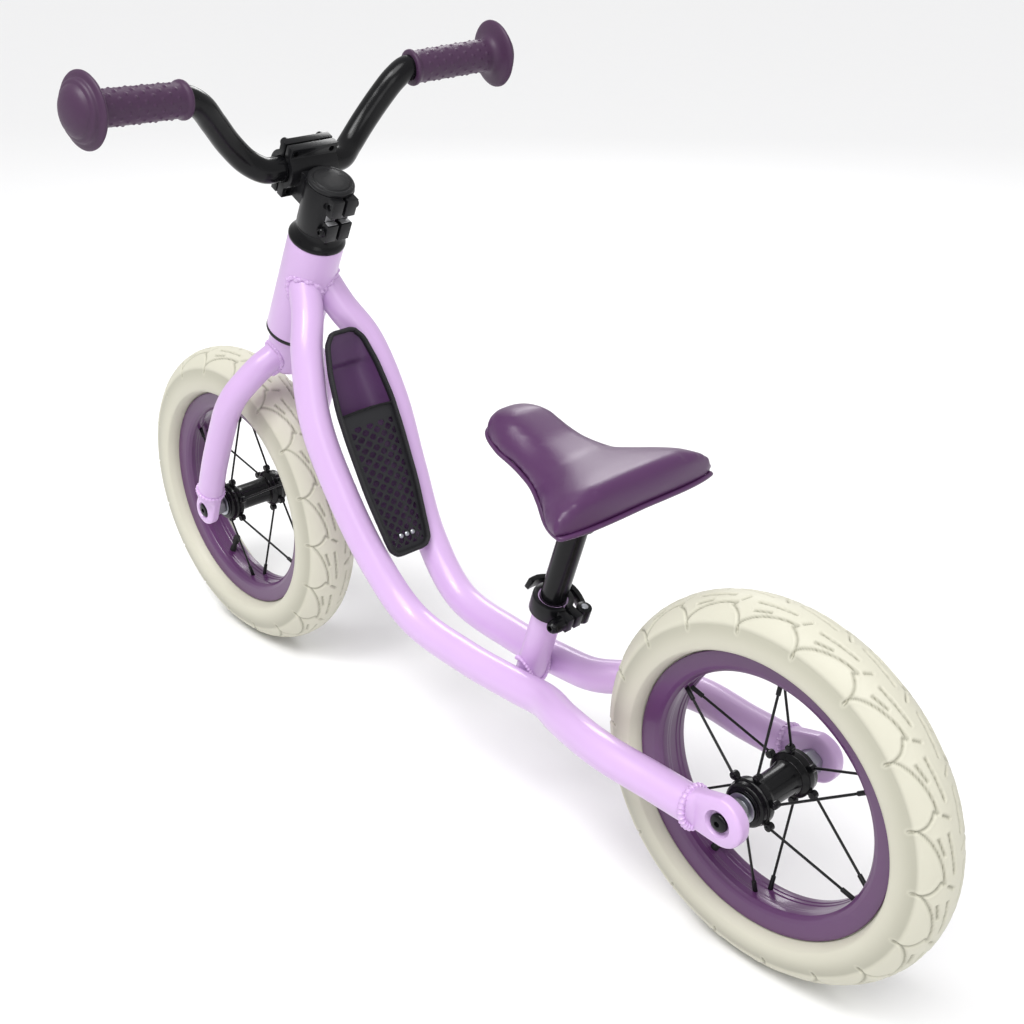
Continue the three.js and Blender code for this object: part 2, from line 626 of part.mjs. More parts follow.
const topCap = () => turned([
  [0, STEM_TOP - 3 + GAP],
  [STEERER_RADIUS - 2, STEM_TOP - 3 + GAP],
  [STEERER_RADIUS - 2, STEM_TOP + GAP],
  [STEM_RADIUS - 0.6, STEM_TOP + GAP],
  [STEM_RADIUS - 2.6, STEM_TOP + 3.4],
  [0, STEM_TOP + 4.2],
], 28);

const PINCH_X = 2 - STEM_RADIUS;
const PINCH_HEIGHTS = [STEM_BOTTOM + 9, STEM_TOP - 9];
const FACE_BOLT_SIDE = CLAMP_HALF_WIDTH - 6;
const FACE_BOLT_RISE = CLAMP_RADIUS + 2.5;
const FACE_BOLT_RADIUS = 2.4;
const FACE_GAP = 2; // between the stem and its face plate

const faceBoltPlaces = [
  { name: 'upper_left', y: FACE_BOLT_SIDE, z: CLAMP_HEIGHT + FACE_BOLT_RISE },
  { name: 'upper_right', y: -FACE_BOLT_SIDE, z: CLAMP_HEIGHT + FACE_BOLT_RISE },
  { name: 'lower_left', y: FACE_BOLT_SIDE, z: CLAMP_HEIGHT - FACE_BOLT_RISE },
  { name: 'lower_right', y: -FACE_BOLT_SIDE, z: CLAMP_HEIGHT - FACE_BOLT_RISE },
];

// The clamp block around the handlebar, whole, before it is split into stem and face plate.
const clampBlock = () => {
  const width = 2 * CLAMP_HALF_WIDTH;
  const barrel = across(STEM_REACH, CLAMP_HEIGHT, -CLAMP_HALF_WIDTH, CLAMP_HALF_WIDTH, CLAMP_RADIUS, 24);
  const ears = box(16, width, 2 * (FACE_BOLT_RISE + 5), STEM_REACH, 0, CLAMP_HEIGHT);
  return joined(barrel, ears);
};

const barSpace = () =>
  across(STEM_REACH, CLAMP_HEIGHT, -CLAMP_HALF_WIDTH - 1, CLAMP_HALF_WIDTH + 1, BAR_RADIUS + RUNNING, 24);

const stem = () => {
  const middle = (STEM_BOTTOM + STEM_TOP) / 2;
  const barrel = upright(STEM_BOTTOM, STEM_TOP, STEM_RADIUS, 24);
  const neckHeight = 28;
  const neck = box(STEM_REACH - 4, 30, neckHeight, STEM_REACH / 2, 0, STEM_TOP - 1 - neckHeight / 2);
  const ears = box(13, 25, STEM_HEIGHT - 2, PINCH_X + 1, 0, middle);
  const back = cut(
    clampBlock(), box(40, 100, 80, STEM_REACH + FACE_GAP / -2 + 20, 0, CLAMP_HEIGHT));
  const steererSpace = upright(STEM_BOTTOM - 30, STEM_TOP + 30, STEERER_RADIUS + GAP, 24);
  const slit = box(40, STEM_SLIT, STEM_HEIGHT + 2, -20 - STEERER_RADIUS + 4, 0, middle);
  const wedge = box(12, 40, 8, PINCH_X - 4, 0, middle);
  const pinchHoles = PINCH_HEIGHTS.flatMap((z) => [
    across(PINCH_X, z, -25, 25, 2.6 + GAP, 12),
    across(PINCH_X, z, 12.5, 25, 4.4 + GAP, 12), // seats for the bolt heads
    across(PINCH_X, z, -25, -12.5, 4.4 + GAP, 12),
  ]);
  const faceHoles = faceBoltPlaces.map(({ y, z }) => forward(y, z, 20, 50, FACE_BOLT_RADIUS + GAP, 12));
  return cut(
    joined(barrel, neck, ears, back),
    steererSpace, slit, wedge, barSpace(), ...pinchHoles, ...faceHoles);
};

const facePlate = () => {
  const front = cut(
    clampBlock(), box(40, 100, 80, STEM_REACH + FACE_GAP / 2 - 20, 0, CLAMP_HEIGHT));
  const holes = faceBoltPlaces.map(({ y, z }) => forward(y, z, 20, 60, FACE_BOLT_RADIUS + GAP, 12));
  return cut(front, barSpace(), ...holes);
};

const faceBolt = (y, z) => {
  const seat = STEM_REACH + 8 + GAP;
  return joined(
    forward(y, z, STEM_REACH - 7.5, seat + 1, FACE_BOLT_RADIUS, 12), forward(y, z, seat, seat + 4.5, 4.2, 12));
};

const pinchBolt = (z, headSide) => {
  const shankEnd = 12;
  const head = 12.5 + GAP;
  return joined(
    across(PINCH_X, z, -headSide * shankEnd, headSide * (head + 1), 2.6, 12),
    across(PINCH_X, z, headSide * head, headSide * (head + 4), 4.4, 12));
};

// ---------------------------------------------------------------- handlebar
// About its own axis in the clamp: the origin is the middle of the bar.
const BAR_PATH = [
  [0, 10, 0],
  [0, 20, 0],
  [0, 28, 0],
  [1, 40, 1],
  [6, 53, 9],
  [6, 69, 26],
  [1, 85, 46],
  [-4, 98, 61],
];
const GRIP_ROOT = new THREE.Vector3(-6, GRIP_START, 68.6);
const GRIP_DIRECTION = new THREE.Vector3(-0.115, 0.992, 0.047).normalize();
const alongGrip = (distance) => GRIP_ROOT.clone().addScaledVector(GRIP_DIRECTION, distance).toArray();

const barHalf = () => [...BAR_PATH, ...[-4, 4, 30, GRIP_LENGTH - 12].map(alongGrip)];

const handlebar = () => {
  const left = barHalf();
  return tube([...mirrored(left).reverse(), ...left], BAR_RADIUS, BAR_WALL, 32);
};

const GRIP_PROFILE = [
  [GRIP_RADIUS + 1.4, 0],
  [GRIP_RADIUS + 1.4, 4],
  [GRIP_RADIUS, 5],
  [GRIP_RADIUS, GRIP_LENGTH - 22],
  [GRIP_RADIUS + 4, GRIP_LENGTH - 20],
  [GRIP_FLANGE_RADIUS - 1, GRIP_LENGTH - 18],
  [GRIP_FLANGE_RADIUS, GRIP_LENGTH - 15.5],
  [GRIP_FLANGE_RADIUS - 2, GRIP_LENGTH - 13],
  [GRIP_RADIUS + 8, GRIP_LENGTH - 9],
  [GRIP_RADIUS + 6, GRIP_LENGTH - 3.5],
  [GRIP_RADIUS, GRIP_LENGTH - 0.8],
  [0, GRIP_LENGTH],
];

const grip = (sign) => {
  const bore = BAR_RADIUS + 1;
  const inside = [[0, GRIP_LENGTH - 8], [bore, GRIP_LENGTH - 8], [bore, 0]];
  const turn = new THREE.Quaternion().setFromUnitVectors(new THREE.Vector3(0, 0, 1), GRIP_DIRECTION);
  const geometry = turned([...GRIP_PROFILE, ...inside], 16)
    .applyQuaternion(turn).translate(...GRIP_ROOT.toArray());
  return sign > 0 ? geometry : mirrorAcross(geometry);
};

// ---------------------------------------------------------------- pouch
// In its own plane: X across the bike's width, Y up the pouch, Z towards the rider.
const pouchShape = (inset, from = 0, to = POUCH_LENGTH) => {
  const outline = [
    [17, 0], [23, 8], [29, 60], [31, 110], [31, 138], [27, 172], [21, 196], [13, POUCH_LENGTH],
  ].map(([x, y]) => [x - inset, Math.min(Math.max(y, from + inset), to - inset)]);
  const shape = new THREE.Shape();
  outline.forEach(([x, y], i) => (i ? shape.lineTo(x, y) : shape.moveTo(x, y)));
  outline.reverse().forEach(([x, y]) => shape.lineTo(-x, y));
  shape.closePath();
  return shape;
};

const pouchBlock = (inset, bottom, top, from, to) =>
  new THREE.ExtrudeGeometry(pouchShape(inset, from, to), { depth: top - bottom, bevelEnabled: false })
    .translate(0, 0, bottom);

// From the pouch's plane to the bike's axes.
const placePouch = (geometry) =>
  geometry
    .rotateX(Math.PI / 2)
    .rotateZ(-Math.PI / 2)
    .translate(0, 0, -POUCH_LENGTH)
    .rotateY(POUCH_LEAN)
    .translate(HEAD_X - POUCH_BEHIND_HEAD, 0, HEAD_Z - POUCH_BELOW_HEAD);

// The frame tubes where they pass the pouch, wider by a share, so that the flats between
// their few corners stay clear of the round tube at any radius.
const tubeSpaces = () => sides.map(({ sign }) =>
  tube((sign > 0 ? FRAME_PATH : mirrored(FRAME_PATH)).slice(0, 8), TUBE_RADIUS * 1.055, 0, 20, 12));

const pouchShell = () => {
  const outer = pouchBlock(0, -POUCH_DEPTH, 0);
  const cavity = pouchBlock(POUCH_WALL, -POUCH_DEPTH + POUCH_WALL, 10);
  return cut(placePouch(cut(outer, cavity)), ...tubeSpaces());
};

const pouchBinding = () =>
  cut(placePouch(cut(pouchBlock(0, GAP, 3.4), pouchBlock(5, -1, 5))), ...tubeSpaces());

const pouchMesh = () => placePouch(common(
  pouchBlock(POUCH_WALL + GAP, -2, -0.4), box(100, POUCH_MOUTH, 10, 0, POUCH_MOUTH / 2, 0)));

// ---------------------------------------------------------------- the bike
const frameGroup = new THREE.Group();
frameGroup.add(
  part('left_frame_tube', frameTube(1), lilacPaint),
  part('right_frame_tube', frameTube(-1), lilacPaint),
);

const rearEnd = group(0, 0, REAR_TYRE_RADIUS, 0,
  part('left_rear_dropout', rearDropout(1), lilacPaint),
  part('right_rear_dropout', rearDropout(-1), lilacPaint),
  ...axleSet('rear', REAR_DROPOUT_OUTER, DROPOUT_THICKNESS),
);

const headEnd = group(WHEELBASE, 0, FRONT_TYRE_RADIUS, HEAD_LEAN,
  part('head_tube', headTube(), lilacPaint),
  part('lower_headset_bearing', bearing().translate(0, 0, HEAD_TUBE_BOTTOM), brightSteel),
  part('upper_headset_bearing', bearing().translate(0, 0, HEAD_TUBE_TOP - BEARING_HEIGHT), brightSteel),
);

const handlebarGroup = group(STEM_REACH, 0, CLAMP_HEIGHT, -HEAD_LEAN, // the bar's own axes stay level
  part('handlebar', handlebar(), blackMetal),
  ...sides.map(({ name, sign }) => part(`${name}_grip`, grip(sign), mauveGrip)),
);

const steeringGroup = group(WHEELBASE, 0, FRONT_TYRE_RADIUS, HEAD_LEAN,
  part('fork_steerer', steerer(), lilacPaint),
  ...sides.map(({ name, sign }) => part(`${name}_fork_leg`, forkLeg(sign), lilacPaint)),
  ...sides.map(({ name, sign }) => part(`${name}_fork_dropout`, forkDropout(sign), lilacPaint)),
  ...axleSet('front', FORK_DROPOUT_OUTER, FORK_DROPOUT_THICKNESS),
  part('lower_headset_seal', lowerSeal(), blackRubber),
  part('upper_headset_cap', headsetCap(), blackMetal),
  part('stem', stem(), blackMetal),
  part('stem_face_plate', facePlate(), blackMetal),
  part('stem_top_cap', topCap(), blackPlastic),
  part('upper_pinch_bolt', pinchBolt(PINCH_HEIGHTS[1], -1), blackMetal),
  part('lower_pinch_bolt', pinchBolt(PINCH_HEIGHTS[0], 1), blackMetal),
  ...faceBoltPlaces.map(({ name, y, z }) => part(`${name}_face_bolt`, faceBolt(y, z), blackMetal)),
  handlebarGroup,
);

const clampGroup = group(0, 0, collarCentre, 0,
  part('seat_collar', seatCollar(), blackMetal),
  part('seat_skewer', skewer(), blackMetal),
  part('seat_skewer_nut', skewerNut(), blackMetal),
  group(-SKEWER_OFFSET, LEVER_PIN_SIDE, 0, 0, part('quick_release_lever', lever(), blackMetal)),
);

const seatGroup = group(SEAT_FOOT_X, 0, SEAT_FOOT_Z, SEAT_LEAN,
  part('seat_tube', seatTube(), lilacPaint),
  part('seat_post', seatPost(), blackMetal),
  clampGroup,
);

const saddleGroup = new THREE.Group();
saddleGroup.add(
  part('saddle_pan', saddlePan(), blackPlastic),
  part('saddle_cushion', saddleCushion(), violetSaddle),
);

const pouchGroup = new THREE.Group();
pouchGroup.add(
  part('pouch_shell', pouchShell(), violetFabric),
  part('pouch_binding', pouchBinding(), blackFabric),
  part('pouch_mesh', pouchMesh(), blackFabric),
);

// The origin is on the ground, midway between the two ends of the bike.
const bike = new THREE.Group();
bike.position.x = -(WHEELBASE + FRONT_TYRE_RADIUS - REAR_TYRE_RADIUS) / 2;
bike.add(
  frameGroup,
  rearEnd,
  headEnd,
  steeringGroup,
  seatGroup,
  saddleGroup,
  pouchGroup,
  wheel('rear', 0, REAR_TYRE_RADIUS, REAR_TYRE_RADIUS, REAR_TYRE_HALF_WIDTH, VALVE_ANGLE),
  wheel('front', WHEELBASE, FRONT_TYRE_RADIUS, FRONT_TYRE_RADIUS, FRONT_TYRE_HALF_WIDTH, VALVE_ANGLE),
);

export default bike;
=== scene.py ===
"""The looks of a child's balance bike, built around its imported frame."""
import json
import logging
import math
from dataclasses import dataclass, field
from enum import Enum
from typing import Any, Callable, Iterable, Sequence

import bpy
import numpy as np
from mathutils import Matrix, Vector


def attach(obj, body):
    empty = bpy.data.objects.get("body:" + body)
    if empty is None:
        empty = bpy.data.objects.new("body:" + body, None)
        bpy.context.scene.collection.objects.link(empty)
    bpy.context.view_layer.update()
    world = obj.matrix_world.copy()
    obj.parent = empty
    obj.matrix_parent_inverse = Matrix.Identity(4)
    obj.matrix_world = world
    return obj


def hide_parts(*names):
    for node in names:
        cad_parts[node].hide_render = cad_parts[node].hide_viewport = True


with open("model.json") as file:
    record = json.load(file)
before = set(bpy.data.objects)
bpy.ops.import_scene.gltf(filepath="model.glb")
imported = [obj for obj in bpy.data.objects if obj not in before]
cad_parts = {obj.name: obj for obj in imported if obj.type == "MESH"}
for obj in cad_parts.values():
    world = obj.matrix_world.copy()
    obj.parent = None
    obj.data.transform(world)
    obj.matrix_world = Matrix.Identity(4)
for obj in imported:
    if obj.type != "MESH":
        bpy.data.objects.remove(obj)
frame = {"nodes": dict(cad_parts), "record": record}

LOG = logging.getLogger("balance_bike")
MM = 0.001
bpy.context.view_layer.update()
# Its value weights the painted shade in a tyre's grooves.
GROOVE = "groove"  # the attribute that marks a tyre's grooves
Colour = tuple[float, float, float]
Points = Sequence[Sequence[float]]


class Side(Enum):
    """The rider's two sides, as the sign of Y."""

    LEFT = 1
    RIGHT = -1

    @property
    def word(self) -> str:
        """The side's name in lower case."""
        return self.name.lower()


class Turn(Enum):
    """The axis that a turned shape goes round."""

    UPRIGHT = "z"
    ACROSS = "y"


# ------------------------------------------------------------------ shader nodes
class Value:
    """A shader socket that takes part in arithmetic."""

    def __init__(self, nodes: "Nodes", socket: bpy.types.NodeSocket) -> None:
        """Keeps the socket and the tree it belongs to."""
        self.nodes = nodes
        self.socket = socket

    def _math(self, operation: str, first: Any, second: Any = None) -> "Value":
        """Adds one Math node and returns its result."""
        links = {0: first} if second is None else {0: first, 1: second}
        return self.nodes.value("ShaderNodeMath", {"operation": operation}, links)

    def __add__(self, other: Any) -> "Value":
        """self + other."""
        return self._math("ADD", self, other)

    __radd__ = __add__

    def __sub__(self, other: Any) -> "Value":
        """self - other."""
        return self._math("SUBTRACT", self, other)

    def __rsub__(self, other: Any) -> "Value":
        """other - self."""
        return self._math("SUBTRACT", other, self)

    def __mul__(self, other: Any) -> "Value":
        """self * other."""
        return self._math("MULTIPLY", self, other)

    __rmul__ = __mul__

    def __gt__(self, other: Any) -> "Value":
        """1 where self is greater than other, and 0 elsewhere."""
        return self._math("GREATER_THAN", self, other)

    def power(self, exponent: float) -> "Value":
        """self raised to a fixed exponent."""
        return self._math("POWER", self, exponent)

    def size(self) -> "Value":
        """The absolute value."""
        return self._math("ABSOLUTE", self)

    def sine(self) -> "Value":
        """The sine of self."""
        return self._math("SINE", self)


class Nodes:
    """The node tree of one material."""

    def __init__(self, name: str) -> None:
        """Makes an empty material with a Principled shader."""
        self.material = bpy.data.materials.new(name)
        self.material.use_nodes = True
        self.tree = self.material.node_tree
        self.shader = self.tree.nodes["Principled BSDF"]

    def make(self, kind: str, settings: dict[str, Any] | None = None,
             inputs: dict[int | str, Any] | None = None) -> bpy.types.Node:
        """Adds a node.

        Args:
            kind: the node's type name.
            settings: properties, set before the inputs.
            inputs: values, or links given as Value, by socket name or number.

        Returns:
            The new node.
        """
        node = self.tree.nodes.new(kind)
        for key, setting in (settings or {}).items():
            setattr(node, key, setting)
        for key, given in (inputs or {}).items():
            if isinstance(given, Value):
                self.tree.links.new(given.socket, node.inputs[key])
            else:
                node.inputs[key].default_value = given
        return node

    def value(self, kind: str, settings: dict[str, Any] | None = None,
              inputs: dict[int | str, Any] | None = None, output: int | str = 0) -> Value:
        """The named output of a new node, ready for arithmetic."""
        return Value(self, self.make(kind, settings, inputs).outputs[output])

    def place(self) -> Value:
        """Where a point lies on the object, in metres."""
        return self.value("ShaderNodeTexCoord", output="Object")

    def uv(self) -> tuple[Value, Value]:
        """The two directions of the piece's own UV map."""
        split = self.make("ShaderNodeSeparateXYZ", inputs={0: self.value("ShaderNodeTexCoord", output="UV")})
        return Value(self, split.outputs[0]), Value(self, split.outputs[1])

    def noise(self, per_metre: float, detail: float = 3.0, where: Value | None = None) -> Value:
        """Cloudy noise from 0 to 1."""
        return self.value("ShaderNodeTexNoise", None,
                          {"Vector": where or self.place(), "Scale": per_metre, "Detail": detail})

    def cells(self, per_metre: float) -> Value:
        """Distance to the nearest of many scattered cell centres."""
        return self.value("ShaderNodeTexVoronoi", {"feature": "F1"},
                          {"Vector": self.place(), "Scale": per_metre})

    def blend(self, amount: Value, first: Colour, second: Colour) -> Value:
        """A colour that goes from first to second as amount goes from 0 to 1."""
        node = self.make("ShaderNodeMix", {"data_type": "RGBA"},
                         {0: amount, 6: (*first, 1.0), 7: (*second, 1.0)})
        return Value(self, node.outputs[2])

    def span(self, amount: Value, low: float, high: float) -> Value:
        """Remaps 0..1 to low..high."""
        return amount * (high - low) + low

    def relief(self, height: Value, depth: float, strength: float = 1.0) -> Value:
        """A normal that follows height times depth, in metres."""
        return self.value("ShaderNodeBump", None,
                          {"Strength": strength, "Distance": depth, "Height": height})

    def feed(self, **sockets: Any) -> None:
        """Sets or links the shader's sockets, named with _ for a space."""
        for key, given in sockets.items():
            target = self.shader.inputs[key.replace("_", " ")]
            if isinstance(given, Value):
                self.tree.links.new(given.socket, target)
            else:
                target.default_value = given


# ------------------------------------------------------------------ finishes
@dataclass(frozen=True)
class Finish:
    """A coloured coat with a fine grain and uneven gloss.

    Args:
        name: the material's name.
        colour: its main colour, linear.
        tone: the colour of its cloudy patches.
        roughness: lowest and highest roughness.
        grain: grains per metre.
        depth: height of the grain in metres.
        coat: weight of the clear coat.
        metallic: 1 for bare metal.
        sheen: weight of the dusty sheen of soft stuff.
        specular: how strongly it mirrors head-on.
    """

    name: str
    colour: Colour
    tone: Colour
    roughness: tuple[float, float] = (0.3, 0.4)
    grain: float = 1200.0
    depth: float = 0.0001
    coat: float = 0.0
    metallic: float = 0.0
    sheen: float = 0.0
    specular: float = 0.5

    def height(self, nodes: Nodes) -> Value:
        """The grain's height, 0 to 1."""
        return nodes.noise(self.grain, 2.0)

    def clouds(self, nodes: Nodes) -> Value:
        """Where the second tone shows, 0 to 1."""
        return nodes.noise(14.0, 4.0)

    def extra(self, nodes: Nodes) -> None:
        """Anything that one finish adds to the rest."""

    def build(self) -> bpy.types.Material:
        """Makes the material.

        Returns:
            The finished material.
        """
        nodes = Nodes(self.name)
        nodes.feed(
            Base_Color=nodes.blend(self.clouds(nodes), self.colour, self.tone),
            Roughness=nodes.span(nodes.noise(60.0, 5.0), *self.roughness),
            Normal=nodes.relief(self.height(nodes), self.depth),
            Metallic=self.metallic, Coat_Weight=self.coat, Coat_Roughness=0.08,
            Sheen_Weight=self.sheen, Sheen_Roughness=0.4, Specular_IOR_Level=self.specular,
        )
        self.extra(nodes)
        return nodes.material


@dataclass(frozen=True)
class Vinyl(Finish):
    """Artificial leather, with a pebbled grain."""

    def height(self, nodes: Nodes) -> Value:
        """Rounded pebbles with fine creases between them."""
        return nodes.cells(self.grain).power(0.6) * 0.7 + nodes.noise(self.grain * 2.5, 2.0) * 0.3


@dataclass(frozen=True)
class Brushed(Finish):
    """Plated steel with lines drawn round it."""

    def height(self, nodes: Nodes) -> Value:
        """Noise drawn out along the axle."""
        stretched = nodes.value("ShaderNodeVectorMath", {"operation": "MULTIPLY"},
                                {0: nodes.place(), 1: (1.0, 9.0, 1.0)})
        return nodes.noise(self.grain, 3.0, stretched)


@dataclass(frozen=True)
class Woven(Finish):
    """Binding tape, ribbed across its length, on the piece's UV map."""

    ribs: float = 300.0

    def height(self, nodes: Nodes) -> Value:
        """Ribs crossed by a finer thread."""
        across, along = nodes.uv()
        return (along * (self.ribs * math.pi)).sine().size() * 0.7 + (across * 60.0).sine().size() * 0.3


@dataclass(frozen=True)
class OpenMesh(Finish):
    """Knitted mesh with rows of staggered holes, on the piece's UV map."""

    columns: float = 4.5
    rows: float = 13.0

    def holes(self, nodes: Nodes) -> Value:
        """Highest in the middle of each hole."""
        across, along = nodes.uv()
        one = (across * (self.columns * math.pi) + along * (self.rows * math.pi)).sine().size()
        other = (across * (self.columns * math.pi) - along * (self.rows * math.pi)).sine().size()
        inside = ((0.5 - (across - 0.5).size()) > 0.09) * ((0.90 - along) > 0.0) * (along > 0.035)
        return one * other * inside

    def height(self, nodes: Nodes) -> Value:
        """Threads stand above the holes."""
        return 1.0 - self.holes(nodes)

    def extra(self, nodes: Nodes) -> None:
        """Cuts the holes out, with a soft rim."""
        through = self.holes(nodes) > 0.40
        nodes.feed(Alpha=1.0 - through * 0.94)


@dataclass(frozen=True)
class Moulded(Finish):
    """Moulded rubber with painted shade in its grooves, which the piece marks in an attribute."""

    # The colour of the painted shade in the grooves.
    groove: Colour = (0.24, 0.235, 0.18)

    def extra(self, nodes: Nodes) -> None:
        """Painted shade in the grooves."""
        groove_shade = nodes.value("ShaderNodeAttribute", {"attribute_name": GROOVE}, output="Fac")
        whole = nodes.blend(self.clouds(nodes), self.colour, self.tone)
        node = nodes.make("ShaderNodeMix", {"data_type": "RGBA"},
                          {0: groove_shade * 0.85, 6: whole, 7: (*self.groove, 1.0)})
        nodes.feed(Base_Color=Value(nodes, node.outputs[2]))


LILAC = Finish("lilac_powder_coat", (0.62, 0.42, 0.71), (0.605, 0.408, 0.695), (0.34, 0.38),
               grain=900.0, depth=0.00003, coat=0.35)
BLACK_GLOSS = Finish("black_gloss_coat", (0.0025, 0.0025, 0.003), (0.005, 0.005, 0.006), (0.17, 0.24),
                     grain=1500.0, depth=0.00002, specular=0.22)
BLACK_SATIN = Finish("black_anodised", (0.004, 0.004, 0.005), (0.008, 0.008, 0.009), (0.27, 0.34),
                     grain=2500.0, depth=0.00003, specular=0.22)
BLACK_PLASTIC = Finish("black_moulding", (0.009, 0.009, 0.010), (0.014, 0.014, 0.015), (0.33, 0.42),
                       grain=2200.0, depth=0.00005, specular=0.22)
BLACK_RUBBER = Finish("black_rubber", (0.010, 0.010, 0.010), (0.018, 0.018, 0.018), (0.5, 0.65),
                      grain=1800.0, depth=0.00008, specular=0.3)
STEEL = Brushed("zinc_plated_steel", (0.46, 0.47, 0.50), (0.36, 0.37, 0.40), (0.3, 0.42),
                grain=700.0, depth=0.00005, metallic=1.0)
# Grey for the painted highlight on the stem's black wedge faces.
WEDGE_PAINTED_HIGHLIGHT = Finish("painted_highlight_wedge_face", (0.36, 0.36, 0.37), (0.28, 0.28, 0.29), (0.3, 0.45),
                   grain=1500.0, depth=0.00006, metallic=0.4)
CREAM = Moulded("cream_rubber", (0.60, 0.585, 0.485), (0.565, 0.55, 0.455), (0.48, 0.58),
                grain=1400.0, depth=0.00005, specular=0.4)
VIOLET_RIM = Finish("violet_rim_coat", (0.098, 0.030, 0.112), (0.088, 0.026, 0.101), (0.26, 0.33),
                    grain=1300.0, depth=0.00002, coat=0.25)
MAUVE = Finish("mauve_grip_rubber", (0.056, 0.021, 0.059), (0.048, 0.018, 0.051), (0.42, 0.54),
               grain=1700.0, depth=0.00008, specular=0.4)
SADDLE_SKIN = Vinyl("violet_saddle_skin", (0.076, 0.021, 0.088), (0.066, 0.018, 0.077), (0.32, 0.40),
                    grain=1100.0, depth=0.0001, specular=0.5)
SHELL = Vinyl("violet_pouch_shell", (0.080, 0.030, 0.100), (0.066, 0.025, 0.084), (0.36, 0.46),
              grain=700.0, depth=0.00008, specular=0.4)
TAPE = Woven("black_binding_tape", (0.008, 0.008, 0.009), (0.014, 0.014, 0.016), (0.5, 0.65),
             depth=0.0003, specular=0.35)
NET = OpenMesh("black_pocket_mesh", (0.010, 0.010, 0.012), (0.018, 0.018, 0.021), (0.45, 0.6),
               depth=0.0004, specular=0.35)
FLOOR = Finish("pale_floor", (0.86, 0.86, 0.865), (0.85, 0.85, 0.855), (0.6, 0.7),
               grain=200.0, depth=0.00001, specular=0.2)


class Workshop:
    """Materials made once each, and the pieces that wear them."""

    def __init__(self) -> None:
        """Starts with no materials made."""
        self.made: dict[str, bpy.types.Material] = {}

    def material(self, finish: Finish) -> bpy.types.Material:
        """The finish's material, made the first time it is asked for."""
        if finish.name not in self.made:
            self.made[finish.name] = finish.build()
        return self.made[finish.name]

    def dress(self, piece: bpy.types.Object, finish: Finish) -> None:
        """Gives a new piece its only material."""
        piece.data.materials.clear()
        piece.data.materials.append(self.material(finish))

    def redress(self, finish: Finish, *nodes: str) -> None:
        """Gives CAD nodes that stay a better material."""
        for name in nodes:
            for holder in frame["nodes"][name].material_slots:
                holder.material = self.material(finish)
            LOG.info("kept %s as %s", name, finish.name)

    def fit(self, piece: bpy.types.Object, body: str, finish: Finish, slot: str, *nodes: str) -> bpy.types.Object:
        """Dresses a piece and ties it to the frame.

        Args:
            piece: the finished piece.
            body: the body that it rides on.
            finish: what it is made of.
            slot: the record's material slot; not used.
            nodes: CAD nodes that it stands for.

        Returns:
            The piece.
        """
        self.dress(piece, finish)
        if nodes:
            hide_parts(*nodes)
        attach(piece, body)
        LOG.info("made %s on %s", piece.name, body)
        return piece


SHOP = Workshop()


# ------------------------------------------------------------------ modelling
@dataclass(frozen=True)
class Axes:
    """Local axes in millimetres, tipped back about Y and placed in the frame.

    Args:
        origin: where they stand, in metres.
        lean: how far +Z tips towards -X, in degrees.
    """

    origin: tuple[float, float, float] = (0.0, 0.0, 0.0)
    lean: float = 0.0

    def place(self, points: np.ndarray) -> np.ndarray:
        """Local millimetres to metres in the frame."""
        lean = math.radians(self.lean)
        x, y, z = (points * MM).T
        turned = (x * math.cos(lean) - z * math.sin(lean), y, x * math.sin(lean) + z * math.cos(lean))
        return np.stack(turned, axis=1) + np.array(self.origin)


def deselect() -> None:
    """Leaves object mode with nothing selected."""
    if bpy.context.object and bpy.context.object.mode != "OBJECT":
        bpy.ops.object.mode_set(mode="OBJECT")
    bpy.ops.object.select_all(action="DESELECT")


def pick(piece: bpy.types.Object) -> None:
    """Makes a piece the only one selected, and active."""
    deselect()
    piece.select_set(True)
    bpy.context.view_layer.objects.active = piece


def points_of(piece: bpy.types.Object) -> np.ndarray:
    """A mesh's vertices as an array."""
    flat = np.empty(len(piece.data.vertices) * 3)
    piece.data.vertices.foreach_get("co", flat)
    return flat.reshape(-1, 3)


def move_points(piece: bpy.types.Object, points: np.ndarray) -> None:
    """Writes a mesh's vertices back."""
    piece.data.vertices.foreach_set("co", np.ascontiguousarray(points, float).ravel())
    piece.data.update()


def tidy(piece: bpy.types.Object, merge: float = 0.002, cap: bool = True) -> None:
    """Merges doubles, closes open ends and turns every face outward.

    Args:
        piece: a mesh in millimetres.
        merge: how close two points are one, in millimetres.
        cap: whether to close open ends.
    """
    pick(piece)
    bpy.ops.object.mode_set(mode="EDIT")
    bpy.ops.mesh.select_all(action="SELECT")
    bpy.ops.mesh.remove_doubles(threshold=merge)
    if cap:
        bpy.ops.mesh.fill_holes(sides=0)
    bpy.ops.mesh.select_all(action="SELECT")
    bpy.ops.mesh.normals_make_consistent(inside=False)
    bpy.ops.object.mode_set(mode="OBJECT")


def settle(piece: bpy.types.Object, name: str, axes: Axes, angle: float = 35.0) -> bpy.types.Object:
    """Moves a mesh from local millimetres to its place, and smooths its shading.

    Args:
        piece: the mesh, its object at the origin.
        name: the piece's name.
        axes: where its local axes stand.
        angle: edges sharper than this stay sharp, in degrees.

    Returns:
        The piece.
    """
    pick(piece)
    bpy.ops.object.transform_apply(location=True, rotation=True, scale=True)
    move_points(piece, axes.place(points_of(piece)))
    bpy.ops.object.shade_smooth_by_angle(angle=math.radians(angle))
    piece.name = name
    piece.data.name = name
    return piece


